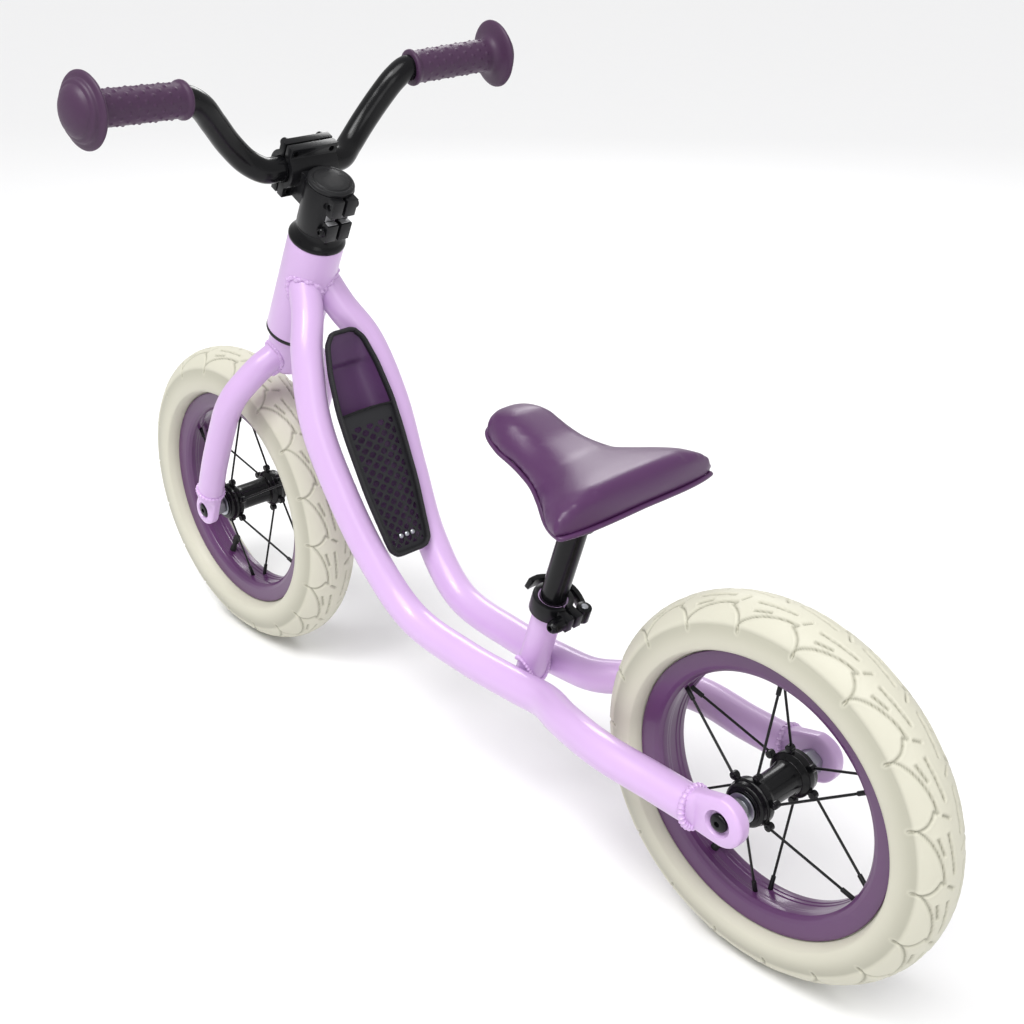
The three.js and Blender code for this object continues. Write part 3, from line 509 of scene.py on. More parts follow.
def surface(across: int, along: int, shape: Callable[[np.ndarray, np.ndarray], np.ndarray],
            cap: bool = True) -> bpy.types.Object:
    """A grid drawn out to a shape.

    Args:
        across: faces in the first direction.
        along: faces in the second direction.
        shape: from the two directions, 0 to 1, to points in millimetres.
        cap: whether open ends are closed.

    Returns:
        The new mesh object, in millimetres.
    """
    deselect()
    bpy.ops.mesh.primitive_grid_add(x_subdivisions=across, y_subdivisions=along, size=1.0)
    piece = bpy.context.object
    flat = points_of(piece)
    move_points(piece, shape(np.clip(flat[:, 0] + 0.5, 0, 1), np.clip(flat[:, 1] + 0.5, 0, 1)))
    tidy(piece, cap=cap)
    return piece


def turned(profile: Points, segments: int = 64, turn: Turn = Turn.UPRIGHT) -> bpy.types.Object:
    """A profile turned round an axis.

    Args:
        profile: (radius, place along the axis) pairs.
        segments: faces round the axis.
        turn: the axis.

    Returns:
        The new mesh object, in millimetres.
    """
    line = np.array(profile, float)

    def shape(u: np.ndarray, v: np.ndarray) -> np.ndarray:
        """One point of the turned profile."""
        row = np.rint(v * (len(line) - 1)).astype(int)
        radius, along = line[row].T
        a, b = radius * np.cos(2 * np.pi * u), radius * np.sin(2 * np.pi * u)
        order = (a, b, along) if turn is Turn.UPRIGHT else (a, along, b)
        return np.stack(order, axis=1)

    return surface(segments, len(line) - 1, shape)


def softened(profile: Points, radius: float = 0.6, closed: bool = False) -> list[tuple[float, float]]:
    """Rounds a profile's corners.

    Args:
        profile: its corners.
        radius: how far along each side the rounding starts.
        closed: whether the last corner joins the first.

    Returns:
        The rounded profile; a closed one ends where it starts.
    """
    pts = [np.array(p, float) for p in profile]
    out: list[tuple[float, float]] = []
    count = len(pts)
    for i, here in enumerate(pts):
        if not closed and i in (0, count - 1):
            out.append(tuple(here))
            continue
        before, after = pts[i - 1], pts[(i + 1) % count]
        a = here + (before - here) * min(0.45, radius / max(np.linalg.norm(before - here), 1e-6))
        b = here + (after - here) * min(0.45, radius / max(np.linalg.norm(after - here), 1e-6))
        for t in (0.0, 0.33, 0.67, 1.0):
            out.append(tuple((1 - t) ** 2 * a + 2 * t * (1 - t) * here + t * t * b))
    if closed:
        out.append(out[0])
    return out


def smooth_path(points: Points, count: int) -> np.ndarray:
    """Evenly spaced points of a centripetal Catmull-Rom curve.

    Args:
        points: the points that it goes through.
        count: how many points to return.

    Returns:
        The points, as an array.
    """
    p = np.array(points, float)
    p = np.vstack((2 * p[0] - p[1], p, 2 * p[-1] - p[-2]))
    dense: list[np.ndarray] = []
    for i in range(1, len(p) - 2):
        p0, p1, p2, p3 = p[i - 1:i + 3]
        t1 = np.linalg.norm(p1 - p0) ** 0.5
        t2 = t1 + np.linalg.norm(p2 - p1) ** 0.5
        t3 = t2 + np.linalg.norm(p3 - p2) ** 0.5
        t = np.linspace(t1, t2, 40, endpoint=False)[:, None]
        a1 = (t1 - t) / t1 * p0 + t / t1 * p1
        a2 = (t2 - t) / (t2 - t1) * p1 + (t - t1) / (t2 - t1) * p2
        a3 = (t3 - t) / (t3 - t2) * p2 + (t - t2) / (t3 - t2) * p3
        b1 = (t2 - t) / t2 * a1 + t / t2 * a2
        b2 = (t3 - t) / (t3 - t1) * a2 + (t - t1) / (t3 - t1) * a3
        dense.extend((t2 - t) / (t2 - t1) * b1 + (t - t1) / (t2 - t1) * b2)
    line = np.vstack((np.array(dense), p[-2]))
    walked = np.concatenate(([0], np.cumsum(np.linalg.norm(np.diff(line, axis=0), axis=1))))
    at = np.linspace(0, walked[-1], count)
    return np.stack([np.interp(at, walked, line[:, k]) for k in range(3)], axis=1)


def ring_frames(path: np.ndarray, closed: bool = False) -> tuple[np.ndarray, np.ndarray]:
    """Two directions square to a path at each of its points, turning as little as they can."""
    ahead = np.gradient(path, axis=0)
    if closed:
        ahead[0] = ahead[-1] = path[1] - path[-2]
    ahead /= np.linalg.norm(ahead, axis=1)[:, None]
    start = np.array((0.0, 1.0, 0.0)) if abs(ahead[0][1]) < 0.9 else np.array((1.0, 0.0, 0.0))
    first = []
    for d in ahead:
        start = start - d * (start @ d)
        start = start / np.linalg.norm(start)
        first.append(start)
    one = np.array(first)
    return one, np.cross(ahead, one)


def swept(path: np.ndarray, radius: float | np.ndarray, segments: int = 32, closed: bool = False,
          flat: float = 1.0) -> bpy.types.Object:
    """A round section carried along a path.

    Args:
        path: points in millimetres.
        radius: one radius, or one for each point.
        segments: faces round the section.
        closed: whether the path ends where it starts.
        flat: the section's second half-axis as a share of the first.

    Returns:
        The new mesh object, in millimetres.
    """
    one, other = ring_frames(path, closed)
    radii = np.broadcast_to(np.asarray(radius, float), (len(path),))

    def shape(u: np.ndarray, v: np.ndarray) -> np.ndarray:
        """One point of the swept skin."""
        row = np.rint(v * (len(path) - 1)).astype(int)
        r = radii[row][:, None]
        return path[row] + r * (np.cos(2 * np.pi * u)[:, None] * one[row]
                                + flat * np.sin(2 * np.pi * u)[:, None] * other[row])

    return surface(segments, len(path) - 1, shape)


def joined(pieces: Iterable[bpy.types.Object]) -> bpy.types.Object:
    """Several meshes as one object."""
    group = list(pieces)
    deselect()
    for piece in group:
        piece.select_set(True)
    bpy.context.view_layer.objects.active = group[0]
    bpy.ops.object.join()
    return bpy.context.object


def carved(piece: bpy.types.Object, tool: bpy.types.Object, operation: str = "DIFFERENCE") -> bpy.types.Object:
    """Cuts one mesh with another, which is used up."""
    pick(piece)
    bpy.ops.object.modifier_add(type="BOOLEAN")
    cut = piece.modifiers[-1]
    cut.operation, cut.object, cut.solver = operation, tool, "EXACT"
    bpy.ops.object.modifier_apply(modifier=cut.name)
    bpy.data.objects.remove(tool)
    return piece


def bevelled(piece: bpy.types.Object, width: float, segments: int = 2, angle: float = 30.0) -> bpy.types.Object:
    """Rounds a mesh's sharp edges."""
    pick(piece)
    bpy.ops.object.modifier_add(type="BEVEL")
    bevel = piece.modifiers[-1]
    bevel.width, bevel.segments, bevel.limit_method = width, segments, "ANGLE"
    bevel.angle_limit = math.radians(angle)
    bpy.ops.object.modifier_apply(modifier=bevel.name)
    return piece


def block(size: Sequence[float], centre: Sequence[float], width: float = 0.0) -> bpy.types.Object:
    """A block in millimetres, its edges rounded to the given width."""
    deselect()
    bpy.ops.mesh.primitive_cube_add(size=1.0, location=tuple(centre), scale=tuple(size))
    piece = bpy.context.object
    bpy.ops.object.transform_apply(location=True, rotation=True, scale=True)
    return bevelled(piece, width, 3) if width else piece


def bolt_head(radius: float, height: float, socket: float, sides: int = 6) -> bpy.types.Object:
    """A button head with a socket, standing on z = 0.

    Args:
        radius: its rim.
        height: how high it stands.
        socket: radius of the key's socket.
        sides: corners of the socket.

    Returns:
        The new mesh object, in millimetres.
    """
    head = turned([(0, 0), (radius, 0), (radius, height * 0.25), (radius * 0.96, height * 0.55),
                   (radius * 0.8, height * 0.86), (radius * 0.55, height), (0, height)], 40)
    deselect()
    bpy.ops.mesh.primitive_cylinder_add(vertices=sides, radius=socket, depth=height * 1.3,
                                        location=(0, 0, height * 1.05))
    return carved(head, bpy.context.object)


def hex_nut(radius: float, length: float, bore: float) -> bpy.types.Object:
    """A chamfered six-sided nut from z = 0 up, in millimetres."""
    deselect()
    bpy.ops.mesh.primitive_cylinder_add(vertices=6, radius=radius, depth=length, location=(0, 0, length / 2))
    nut = bpy.context.object
    bpy.ops.object.transform_apply(location=True, rotation=True, scale=True)
    cone = turned([(0, -0.01), (radius * 0.9, -0.01), (radius * 1.02, length * 0.12), (radius * 1.02, length * 0.88),
                   (radius * 0.9, length + 0.01), (0, length + 0.01)], 48)
    nut = carved(nut, cone, "INTERSECT")
    return carved(nut, turned([(0, -1), (bore, -1), (bore, length + 1), (0, length + 1)], 32))


def face_sideways(piece: bpy.types.Object, sign: int, x: float, y: float, z: float) -> bpy.types.Object:
    """Turns a piece that stands on z = 0 so that its top looks along +Y or -Y."""
    pts = points_of(piece)
    move_points(piece, np.stack((pts[:, 0] + x, sign * pts[:, 2] + y, -sign * pts[:, 1] + z), axis=1))
    return piece


def face_forward(piece: bpy.types.Object, x: float, y: float, z: float) -> bpy.types.Object:
    """Turns a piece that stands on z = 0 so that its top looks along +X."""
    pts = points_of(piece)
    move_points(piece, np.stack((pts[:, 2] + x, pts[:, 1] + y, -pts[:, 0] + z), axis=1))
    return piece


def from_cad(name: str, width: float) -> bpy.types.Object:
    """A copy of a CAD node's mesh in millimetres, merged, with its edges rounded."""
    deselect()
    bpy.ops.mesh.primitive_cube_add(size=1.0)
    piece = bpy.context.object
    old = piece.data
    piece.data = frame["nodes"][name].data.copy()
    bpy.data.meshes.remove(old)
    move_points(piece, points_of(piece) / MM)
    pick(piece)
    bpy.ops.object.mode_set(mode="EDIT")
    bpy.ops.mesh.select_all(action="SELECT")
    bpy.ops.mesh.remove_doubles(threshold=0.01)
    bpy.ops.mesh.dissolve_limited(angle_limit=math.radians(2))
    bpy.ops.object.mode_set(mode="OBJECT")
    return bevelled(piece, width, 2, 28.0) if width else piece


def mirror_y(points: Points) -> list[tuple[float, float, float]]:
    """The same points on the other side of the bike."""
    return [(x, -y, z) for x, y, z in points]


def weld(path: np.ndarray, radius: float, ripple: float, pitch: float = 2.6) -> bpy.types.Object:
    """A closed bead of weld with a fish-scale ripple.

    Args:
        path: the seam, its last point the same as its first.
        radius: half the bead's width.
        ripple: how much each scale stands out.
        pitch: length of one scale.

    Returns:
        The new mesh object, in millimetres.
    """
    walked = np.concatenate(([0], np.cumsum(np.linalg.norm(np.diff(path, axis=0), axis=1))))
    scales = max(8, round(walked[-1] / pitch))
    count = scales * 6 + 1
    at = np.linspace(0, walked[-1], count)
    line = np.stack([np.interp(at, walked, path[:, k]) for k in range(3)], axis=1)
    line[-1] = line[0]
    phase = np.arange(count) / 6.0 % 1.0
    return swept(line, radius + ripple * (1 - phase) * np.sin(np.pi * np.minimum(phase * 4, 1)), 10, closed=True)


def loft_lug(end_radius: float, tube_radius: float, reach: float, half: float,
             sides: tuple[float, float], rise: float) -> Callable[[np.ndarray, np.ndarray], np.ndarray]:
    """A tube that flattens into a lug with a round end about its axle.

    Args:
        end_radius: of the round end.
        tube_radius: of the tube that it grows from.
        reach: from the axle to the tube.
        half: half the lug's thickness.
        sides: the middle's Y at the tube and at the lug.
        rise: the middle's height at the tube.

    Returns:
        A shape for surface(): along the tube, across, and up.
    """

    def shape(u: np.ndarray, v: np.ndarray) -> np.ndarray:
        """One point of the lug's skin."""
        along = reach + 4 - (reach + 4 + end_radius) * np.sin(v * np.pi / 2) ** 0.9
        flat = np.clip((reach - 1 - along) / 9.0, 0, 1)
        flat = flat * flat * (3 - 2 * flat)
        wide = np.clip((reach - along) / reach, 0, 1) ** 0.75
        tall = np.where(along > 0, tube_radius + (end_radius - tube_radius) * wide,
                        np.sqrt(np.maximum(end_radius ** 2 - along ** 2, 0)))
        close = np.where(along > 0, 1.0, np.maximum(1 - (np.abs(along) / end_radius) ** 7, 0) ** (1 / 3.5))
        deep = (tube_radius + (half - tube_radius) * flat) * close
        power = 1 - 0.62 * flat
        a = 2 * np.pi * u
        y = sides[0] + (sides[1] - sides[0]) * flat + deep * np.sign(np.cos(a)) * np.abs(np.cos(a)) ** power
        z = rise * np.clip(along / reach, 0, 1) + tall * np.sign(np.sin(a)) * np.abs(np.sin(a)) ** (1 - 0.2 * flat)
        return np.stack((along, y, z), axis=1)

    return shape


def puffed(piece: bpy.types.Object, voxel: float, pressure: float, cap: float) -> bpy.types.Object:
    """Fills a closed skin with air and lets it swell a little.

    Args:
        piece: a closed mesh in metres.
        voxel: size of the remesh, in metres.
        pressure: of the air inside.
        cap: how far a point may move, in metres.

    Returns:
        The swollen piece, subdivided once.
    """
    pick(piece)
    bpy.ops.object.modifier_add(type="REMESH")
    remesh = piece.modifiers[-1]
    remesh.mode, remesh.voxel_size, remesh.use_smooth_shade = "VOXEL", voxel, True
    bpy.ops.object.modifier_apply(modifier=remesh.name)
    rest = points_of(piece)
    bpy.ops.object.modifier_add(type="CLOTH")
    cloth = piece.modifiers[-1]
    cloth.settings.use_pressure = True
    cloth.settings.uniform_pressure_force = pressure
    cloth.settings.effector_weights.gravity = 0.0
    cloth.settings.tension_stiffness = 40.0
    scene = bpy.context.scene
    for step in range(1, 21):
        scene.frame_set(step)
    seen = piece.evaluated_get(bpy.context.evaluated_depsgraph_get())
    flat = np.empty(len(seen.data.vertices) * 3)
    seen.data.vertices.foreach_get("co", flat)
    moved = flat.reshape(-1, 3) - rest
    far = np.linalg.norm(moved, axis=1)[:, None]
    pick(piece)
    bpy.ops.object.modifier_remove(modifier=cloth.name)
    scene.frame_set(1)
    move_points(piece, rest + moved * np.minimum(1.0, cap / np.maximum(far, 1e-9)))
    bpy.ops.object.modifier_add(type="SUBSURF")
    piece.modifiers[-1].levels = piece.modifiers[-1].render_levels = 1
    bpy.ops.object.modifier_apply(modifier=piece.modifiers[-1].name)
    bpy.ops.object.shade_smooth()
    return piece


# ------------------------------------------------------------------ where things stand
JOINTS = {joint["name"]: joint for joint in frame["record"]["behaviour"]["joints"]}


def joint_at(name: str) -> tuple[float, float, float]:
    """A joint's own point, in metres."""
    return tuple(JOINTS[name]["pos_m"])


REAR_AXLE = Axes(joint_at("rear_wheel_spin"))
FRONT_AXLE = Axes(joint_at("front_wheel_spin"))
GROUND = Axes((REAR_AXLE.origin[0], 0.0, 0.0))
STEERING = Axes(FRONT_AXLE.origin, 26.4)
SEAT = Axes((GROUND.origin[0] + 0.2545, 0.0, 0.129), 18.2)
BAR = Axes(joint_at("handlebar_tilt"))
POUCH = Axes((GROUND.origin[0] + 0.4966, 0.0, 0.3742), -25.3)


# ------------------------------------------------------------------ wheels
@dataclass(frozen=True)
class Tread:
    """Leaf-shaped grooves on both shoulders of a tyre.

    Args:
        leaves: how many go round one shoulder.
        shoulder: section angle of the leaves' feet, in radians.
        depth: of a groove.
        width: of a groove.
        reach: section angle inside which the skin is finely divided.
    """

    leaves: int = 18
    shoulder: float = 1.05
    depth: float = 1.5
    width: float = 1.0
    reach: float = 1.32

    def lines(self) -> np.ndarray:
        """Points along the grooves of one leaf: place round, then place across."""
        q = np.linspace(0, math.pi / 2, 60)
        s = np.linspace(0, 1, 24)
        front = [2 * s * (1 - s) * 0.01 + s ** 2 * 0.217, (1 - s) ** 2 + 2 * s * (1 - s) * 0.68 + s ** 2 * 0.506]
        back = [0.264 + 0.736 * np.sin(q) ** (4 / 3), 0.428 + 0.572 * (1 - np.cos(q) ** (4 / 3))]
        straight = [((0.217, 0.506), (0.17, 0.413)), ((0.17, 0.413), (0.264, 0.428)), ((0.126, 0.30), (0.061, 0.147)),
                    ((0.0, 1.0), (0.0, 1.17)), ((1.0, 1.0), (1.0, 1.17)), ((0.60, 0.42), (0.84, 0.53)),
                    ((0.30, 0.155), (0.87, 0.25))]
        short = [np.stack((a[0] + (b[0] - a[0]) * s, a[1] + (b[1] - a[1]) * s), axis=1) for a, b in straight]
        whole = np.vstack((np.stack(front, axis=1), np.stack(back, axis=1), *short))
        return np.vstack((whole, whole + (1, 0), whole - (1, 0)))

    def height(self, round_: np.ndarray, section: np.ndarray, radius: float, half: float) -> np.ndarray:
        """How far each point of the skin moves out.

        Args:
            round_: angle round the wheel.
            section: angle round the tyre's section.
            radius: of the tyre.
            half: half its width.

        Returns:
            The move of each point, in millimetres.
        """
        cell = 2 * math.pi * radius / self.leaves
        across = np.abs(section) / self.shoulder
        shift = np.where(section > 0, 0.0, 0.5)
        place = 1 - np.mod(round_ * self.leaves / (2 * math.pi) + shift, 1.0)
        lines = self.lines() * (cell, self.shoulder * half)
        here = np.stack((place * cell, across * self.shoulder * half), axis=1)
        near = np.full(len(here), 99.0)
        used = np.nonzero(across < 1.35)[0]
        for part in np.array_split(used, max(1, len(used) // 4000)):
            gap = here[part][:, None, :] - lines[None, :, :]
            near[part] = np.sqrt((gap ** 2).sum(axis=2)).min(axis=1)
        groove = -self.depth * np.exp(-(near / self.width) ** 2)
        lip = 0.35 * np.exp(-((near - 2.2) / 0.9) ** 2)
        edge = np.clip((across - 1.0) / 0.10, 0, 1)
        fade = np.clip((across - 1.1) / 0.8, 0, 1)
        return groove + lip - 1.0 * edge * (1 - fade * fade * (3 - 2 * fade))


@dataclass
class Wheel:
    """A spoked wheel with a pneumatic tyre, its sizes in millimetres."""

    prefix: str
    axes: Axes
    tyre_radius: float
    half_width: float
    flange_radius: float = 111.8
    rim_half: float = 17.0
    rim_inner: float = 94.0
    rim_bed: float = 104.0
    wall: float = 3.5
    pairs: int = 6
    lug_offset: float = 23.0
    lug_radius: float = 21.5
    spoke_radius: float = 1.05
    nipple: float = 11.0
    valve_angle: float = -60.0
    tread: Tread = field(default_factory=Tread)

    @property
    def body(self) -> str:
        """The body that the wheel's pieces ride on."""
        return f"{self.prefix}_wheel"

    def tyre(self) -> None:
        """The tyre, with its grooves cut into the tread."""
        seat = self.flange_radius + 0.6
        lowest = self.flange_radius - 14.8
        radial = (self.tyre_radius - lowest) / 2
        centre = self.tyre_radius - radial
        spread = math.acos((seat + 3 - centre) / radial)
        edge = self.tread.reach
        outer = np.concatenate((np.linspace(-spread, -edge, 10)[:-1], np.linspace(-edge, edge, 65),
                                np.linspace(edge, spread, 10)[1:]))
        inner = np.linspace(spread, -spread, 9)
        bead = [(seat + 0.4, self.rim_half + 1.2), (seat, self.rim_half - 2.6),
                (self.rim_bed + 3, self.rim_half - 3.6), (self.rim_bed + 3, self.rim_half - 7.6),
                (seat, self.rim_half - 6.6)]
        rows = [(centre + radial * math.cos(a), self.half_width * math.sin(a), a) for a in outer]
        rows += [(r, y, 9.0) for r, y in bead]
        rows += [(centre + (radial - self.wall) * math.cos(a), (self.half_width - self.wall) * math.sin(a), 9.0)
                 for a in inner]
        rows += [(r, -y, 9.0) for r, y in reversed(bead)]
        rows.append(rows[0])
        line = np.array(rows)

        def shape(u: np.ndarray, v: np.ndarray) -> np.ndarray:
            """One point of the tyre."""
            radius, across, section = line[np.rint(v * (len(line) - 1)).astype(int)].T
            round_ = 2 * np.pi * u
            lift = np.where(section < 8, self.tread.height(
                round_, np.where(section < 8, section, 3.0), self.tyre_radius, self.half_width), 0.0)
            out = radius + lift * np.cos(np.where(section < 8, section, 0.0))
            side = across + lift * np.sin(np.where(section < 8, section, 0.0))
            return np.stack((out * np.cos(round_), side, out * np.sin(round_)), axis=1)

        piece = surface(936, len(line) - 1, shape)
        pts = points_of(piece)
        off = np.hypot(pts[:, 0], pts[:, 2]) - centre
        section = np.arctan2(pts[:, 1] / self.half_width, off / radial)
        lift = self.tread.height(np.arctan2(pts[:, 2], pts[:, 0]) % (2 * np.pi), section,
                                 self.tyre_radius, self.half_width)
        # The groove attribute weights the painted shade in the tyre's grooves.
        skin = np.hypot(off / radial, pts[:, 1] / self.half_width) > 0.93
        mark = piece.data.attributes.new(GROOVE, "FLOAT", "POINT")
        mark.data.foreach_set("value", np.where(skin, np.clip(-lift / self.tread.depth, 0, 1) ** 1.5, 0.0))
        settle(piece, f"{self.prefix}_tyre_moulded", self.axes, 60)
        SHOP.fit(piece, self.body, CREAM, "cream_tyre", f"{self.prefix}_tyre")

    def rim(self) -> None:
        """The rim, with fine turned lines inside and a rolled outer edge."""
        half = [(self.rim_inner + 0.8, 0.0), (self.rim_inner + 0.8, 3.2), (self.rim_inner + 0.2, 3.9),
                (self.rim_inner + 0.2, 6.6), (self.rim_inner - 0.4, 7.2), (self.rim_inner, self.rim_half - 5),
                (self.rim_inner + 2.4, self.rim_half - 2.4), (self.rim_inner + 5.5, self.rim_half - 1.2),
                (self.flange_radius - 3, self.rim_half), (self.flange_radius - 0.6, self.rim_half),
                (self.flange_radius, self.rim_half - 0.9), (self.flange_radius - 0.8, self.rim_half - 1.7),
                (self.rim_bed + 2, self.rim_half - 2.8), (self.rim_bed, self.rim_half - 9), (self.rim_bed, 0.0)]
        loop = half[:-1] + [(r, -y) for r, y in reversed(half[1:])]
        piece = turned(softened(loop, 0.5, closed=True), 192, Turn.ACROSS)
        settle(piece, f"{self.prefix}_rim_rolled", self.axes)
        SHOP.fit(piece, self.body, VIOLET_RIM, "violet_rim", f"{self.prefix}_rim")

    def lug_angle(self, side: int, pair: int) -> tuple[float, float]:
        """The angles of one spoke at the rim and at the hub."""
        middle = 2 * math.pi * (pair + 0.5) / self.pairs
        return middle + side * 0.035, middle + side * 0.16

    def hub(self) -> None:
        """The hub: a waisted barrel, two drums and a hooked lug for each spoke."""
        half = [(5.4, 33.0), (15.2, 33.0), (17.0, 31.6), (17.4, 27.5), (18.4, 26.2), (18.4, 20.6), (16.4, 19.2),
                (13.6, 17.6), (12.6, 14.0), (12.4, 0.0)]
        loop = half + [(r, -y) for r, y in reversed(half[:-1])]
        shell = turned(softened(loop, 0.8, closed=True), 72, Turn.ACROSS)
        ring = [(14.0, 31.2), (14.6, 33.9), (13.0, 34.1), (9.0, 33.6), (9.0, 31.2)]
        parts = [shell]
        for side in (1, -1):
            parts.append(turned(softened([(r, side * y) for r, y in ring], 0.4, closed=True), 56, Turn.ACROSS))
            for pair in range(self.pairs):
                _, angle = self.lug_angle(side, pair)
                parts.append(self.lug(side, angle))
        piece = settle(joined(parts), f"{self.prefix}_hub_shell", self.axes)
        SHOP.fit(piece, self.body, BLACK_GLOSS, "black_metal", f"{self.prefix}_hub")

    def lug(self, side: int, angle: float) -> bpy.types.Object:
        """One lug: a short finger with an eye for the spoke's head."""
        line = [(0, -2.6), (3.1, -2.6), (3.1, 2.6), (1.5, 2.6), (1.3, 3.4), (0, 3.4)]
        eye = turned(softened(line, 0.5), 20, Turn.ACROSS)
        pts = points_of(eye)
        move_points(eye, pts * (1, side, 1) + (self.lug_radius, side * self.lug_offset, 0))
        finger = block((6.0, 4.4, 4.6), (self.lug_radius - 3.4, side * self.lug_offset, 0.4), 1.0)
        both = joined([eye, finger])
        tidy(both, cap=False)
        pts = points_of(both)
        c, s = math.cos(angle), math.sin(angle)
        move_points(both, np.stack((pts[:, 0] * c - pts[:, 2] * s, pts[:, 1], pts[:, 0] * s + pts[:, 2] * c), axis=1))
        return both

    def spokes(self) -> None:
        """Twelve wire spokes, each with its long nipple at the rim."""
        parts = []
        for side in (1, -1):
            for pair in range(self.pairs):
                rim, hub = self.lug_angle(side, pair)
                start = np.array((self.lug_radius * math.cos(hub), side * (self.lug_offset + 1.2),
                                  self.lug_radius * math.sin(hub)))
                end = np.array((self.rim_inner * math.cos(rim), side * 5.0, self.rim_inner * math.sin(rim)))
                ahead = (end - start) / np.linalg.norm(end - start)
                wire = np.linspace(start, end, 6)
                parts.append(swept(wire, self.spoke_radius, 12))
                foot = end - ahead * self.nipple
                steps = np.array((0, 0.2, 0.5, 0.9, 9.6, 10.2, 11.0, 11.5))[:, None]
                radii = np.array((1.1, 1.6, 1.8, 1.85, 1.85, 1.9, 2.0, 2.0))
                parts.append(swept(foot + ahead * steps, radii, 14))
        piece = settle(joined(parts), f"{self.prefix}_spokes", self.axes)
        SHOP.fit(piece, self.body, BLACK_SATIN, "black_metal")

    def valve(self) -> None:
        """The valve: a rubber stem with a ribbed cap."""
        cap = [(3.5, 0.0)] + [(3.5 if k % 2 else 3.15, 0.8 + 0.8 * k) for k in range(9)]
        stem = [(3.5, 9.0), (2.4, 9.6), (2.4, 15.0), (3.2, 16.5), (3.6, 33.5), (0.0, 33.5)]
        line = [(0.0, 0.0), (2.6, 0.0)] + cap + stem
        piece = turned(line, 24)
        pts = points_of(piece)
        angle = math.radians(self.valve_angle)
        out = self.rim_bed + 3 - 34 + pts[:, 2]
        move_points(piece, np.stack((out * math.cos(angle) - pts[:, 0] * math.sin(angle), pts[:, 1],
                                     out * math.sin(angle) + pts[:, 0] * math.cos(angle)), axis=1))
        tidy(piece)
        settle(piece, f"{self.prefix}_valve_stem", self.axes)
        SHOP.fit(piece, self.body, BLACK_RUBBER, "black_rubber", f"{self.prefix}_valve")

    def build(self) -> None:
        """Makes every piece of the wheel."""
        self.tyre()
        self.rim()
        self.hub()
        self.spokes()
        self.valve()
        SHOP.redress(BLACK_RUBBER, f"{self.prefix}_inner_tube")


@dataclass
class AxleSet:
    """What holds a wheel between its two ends: axle, cones, lock nuts and bolts."""

    prefix: str
    axes: Axes
    body: str
    outer: float
    thickness: float

    def build(self) -> None:
        """Makes the axle and both sides' hardware."""
        end = self.outer - self.thickness - 0.3
        SHOP.redress(STEEL, f"{self.prefix}_axle")
        for side in Side:
            sign = side.value
            nut = face_sideways(hex_nut(10.4, 9.2, 5.3), sign, 0, sign * (end - 9.2), 0)
            settle(nut, f"{self.prefix}_{side.word}_lock_nut", self.axes)
            SHOP.fit(nut, self.body, STEEL, "bright_steel", f"{self.prefix}_{side.word}_axle_nut")
            loop = [(5.3, 34.4), (11.6, 34.4), (11.6, 35.6), (7.0, 36.2), (7.0, end - 9.4), (5.3, end - 9.4)]
            cone = turned(softened(loop, 0.3, closed=True), 48, Turn.ACROSS)
            move_points(cone, points_of(cone) * (1, sign, 1))
            tidy(cone, cap=False)
            settle(cone, f"{self.prefix}_{side.word}_cone", self.axes)
            SHOP.fit(cone, self.body, STEEL, "bright_steel")
            bolt = joined([bolt_head(7.4, 3.2, 2.5), turned([(0, -9), (3.5, -9), (3.5, 0.5), (0, 0.5)], 24)])
            face_sideways(bolt, sign, 0, sign * (self.outer - 3.0), 0)
            settle(bolt, f"{self.prefix}_{side.word}_button_bolt", self.axes)
            SHOP.fit(bolt, self.body, BLACK_GLOSS, "black_metal", f"{self.prefix}_{side.word}_axle_bolt")


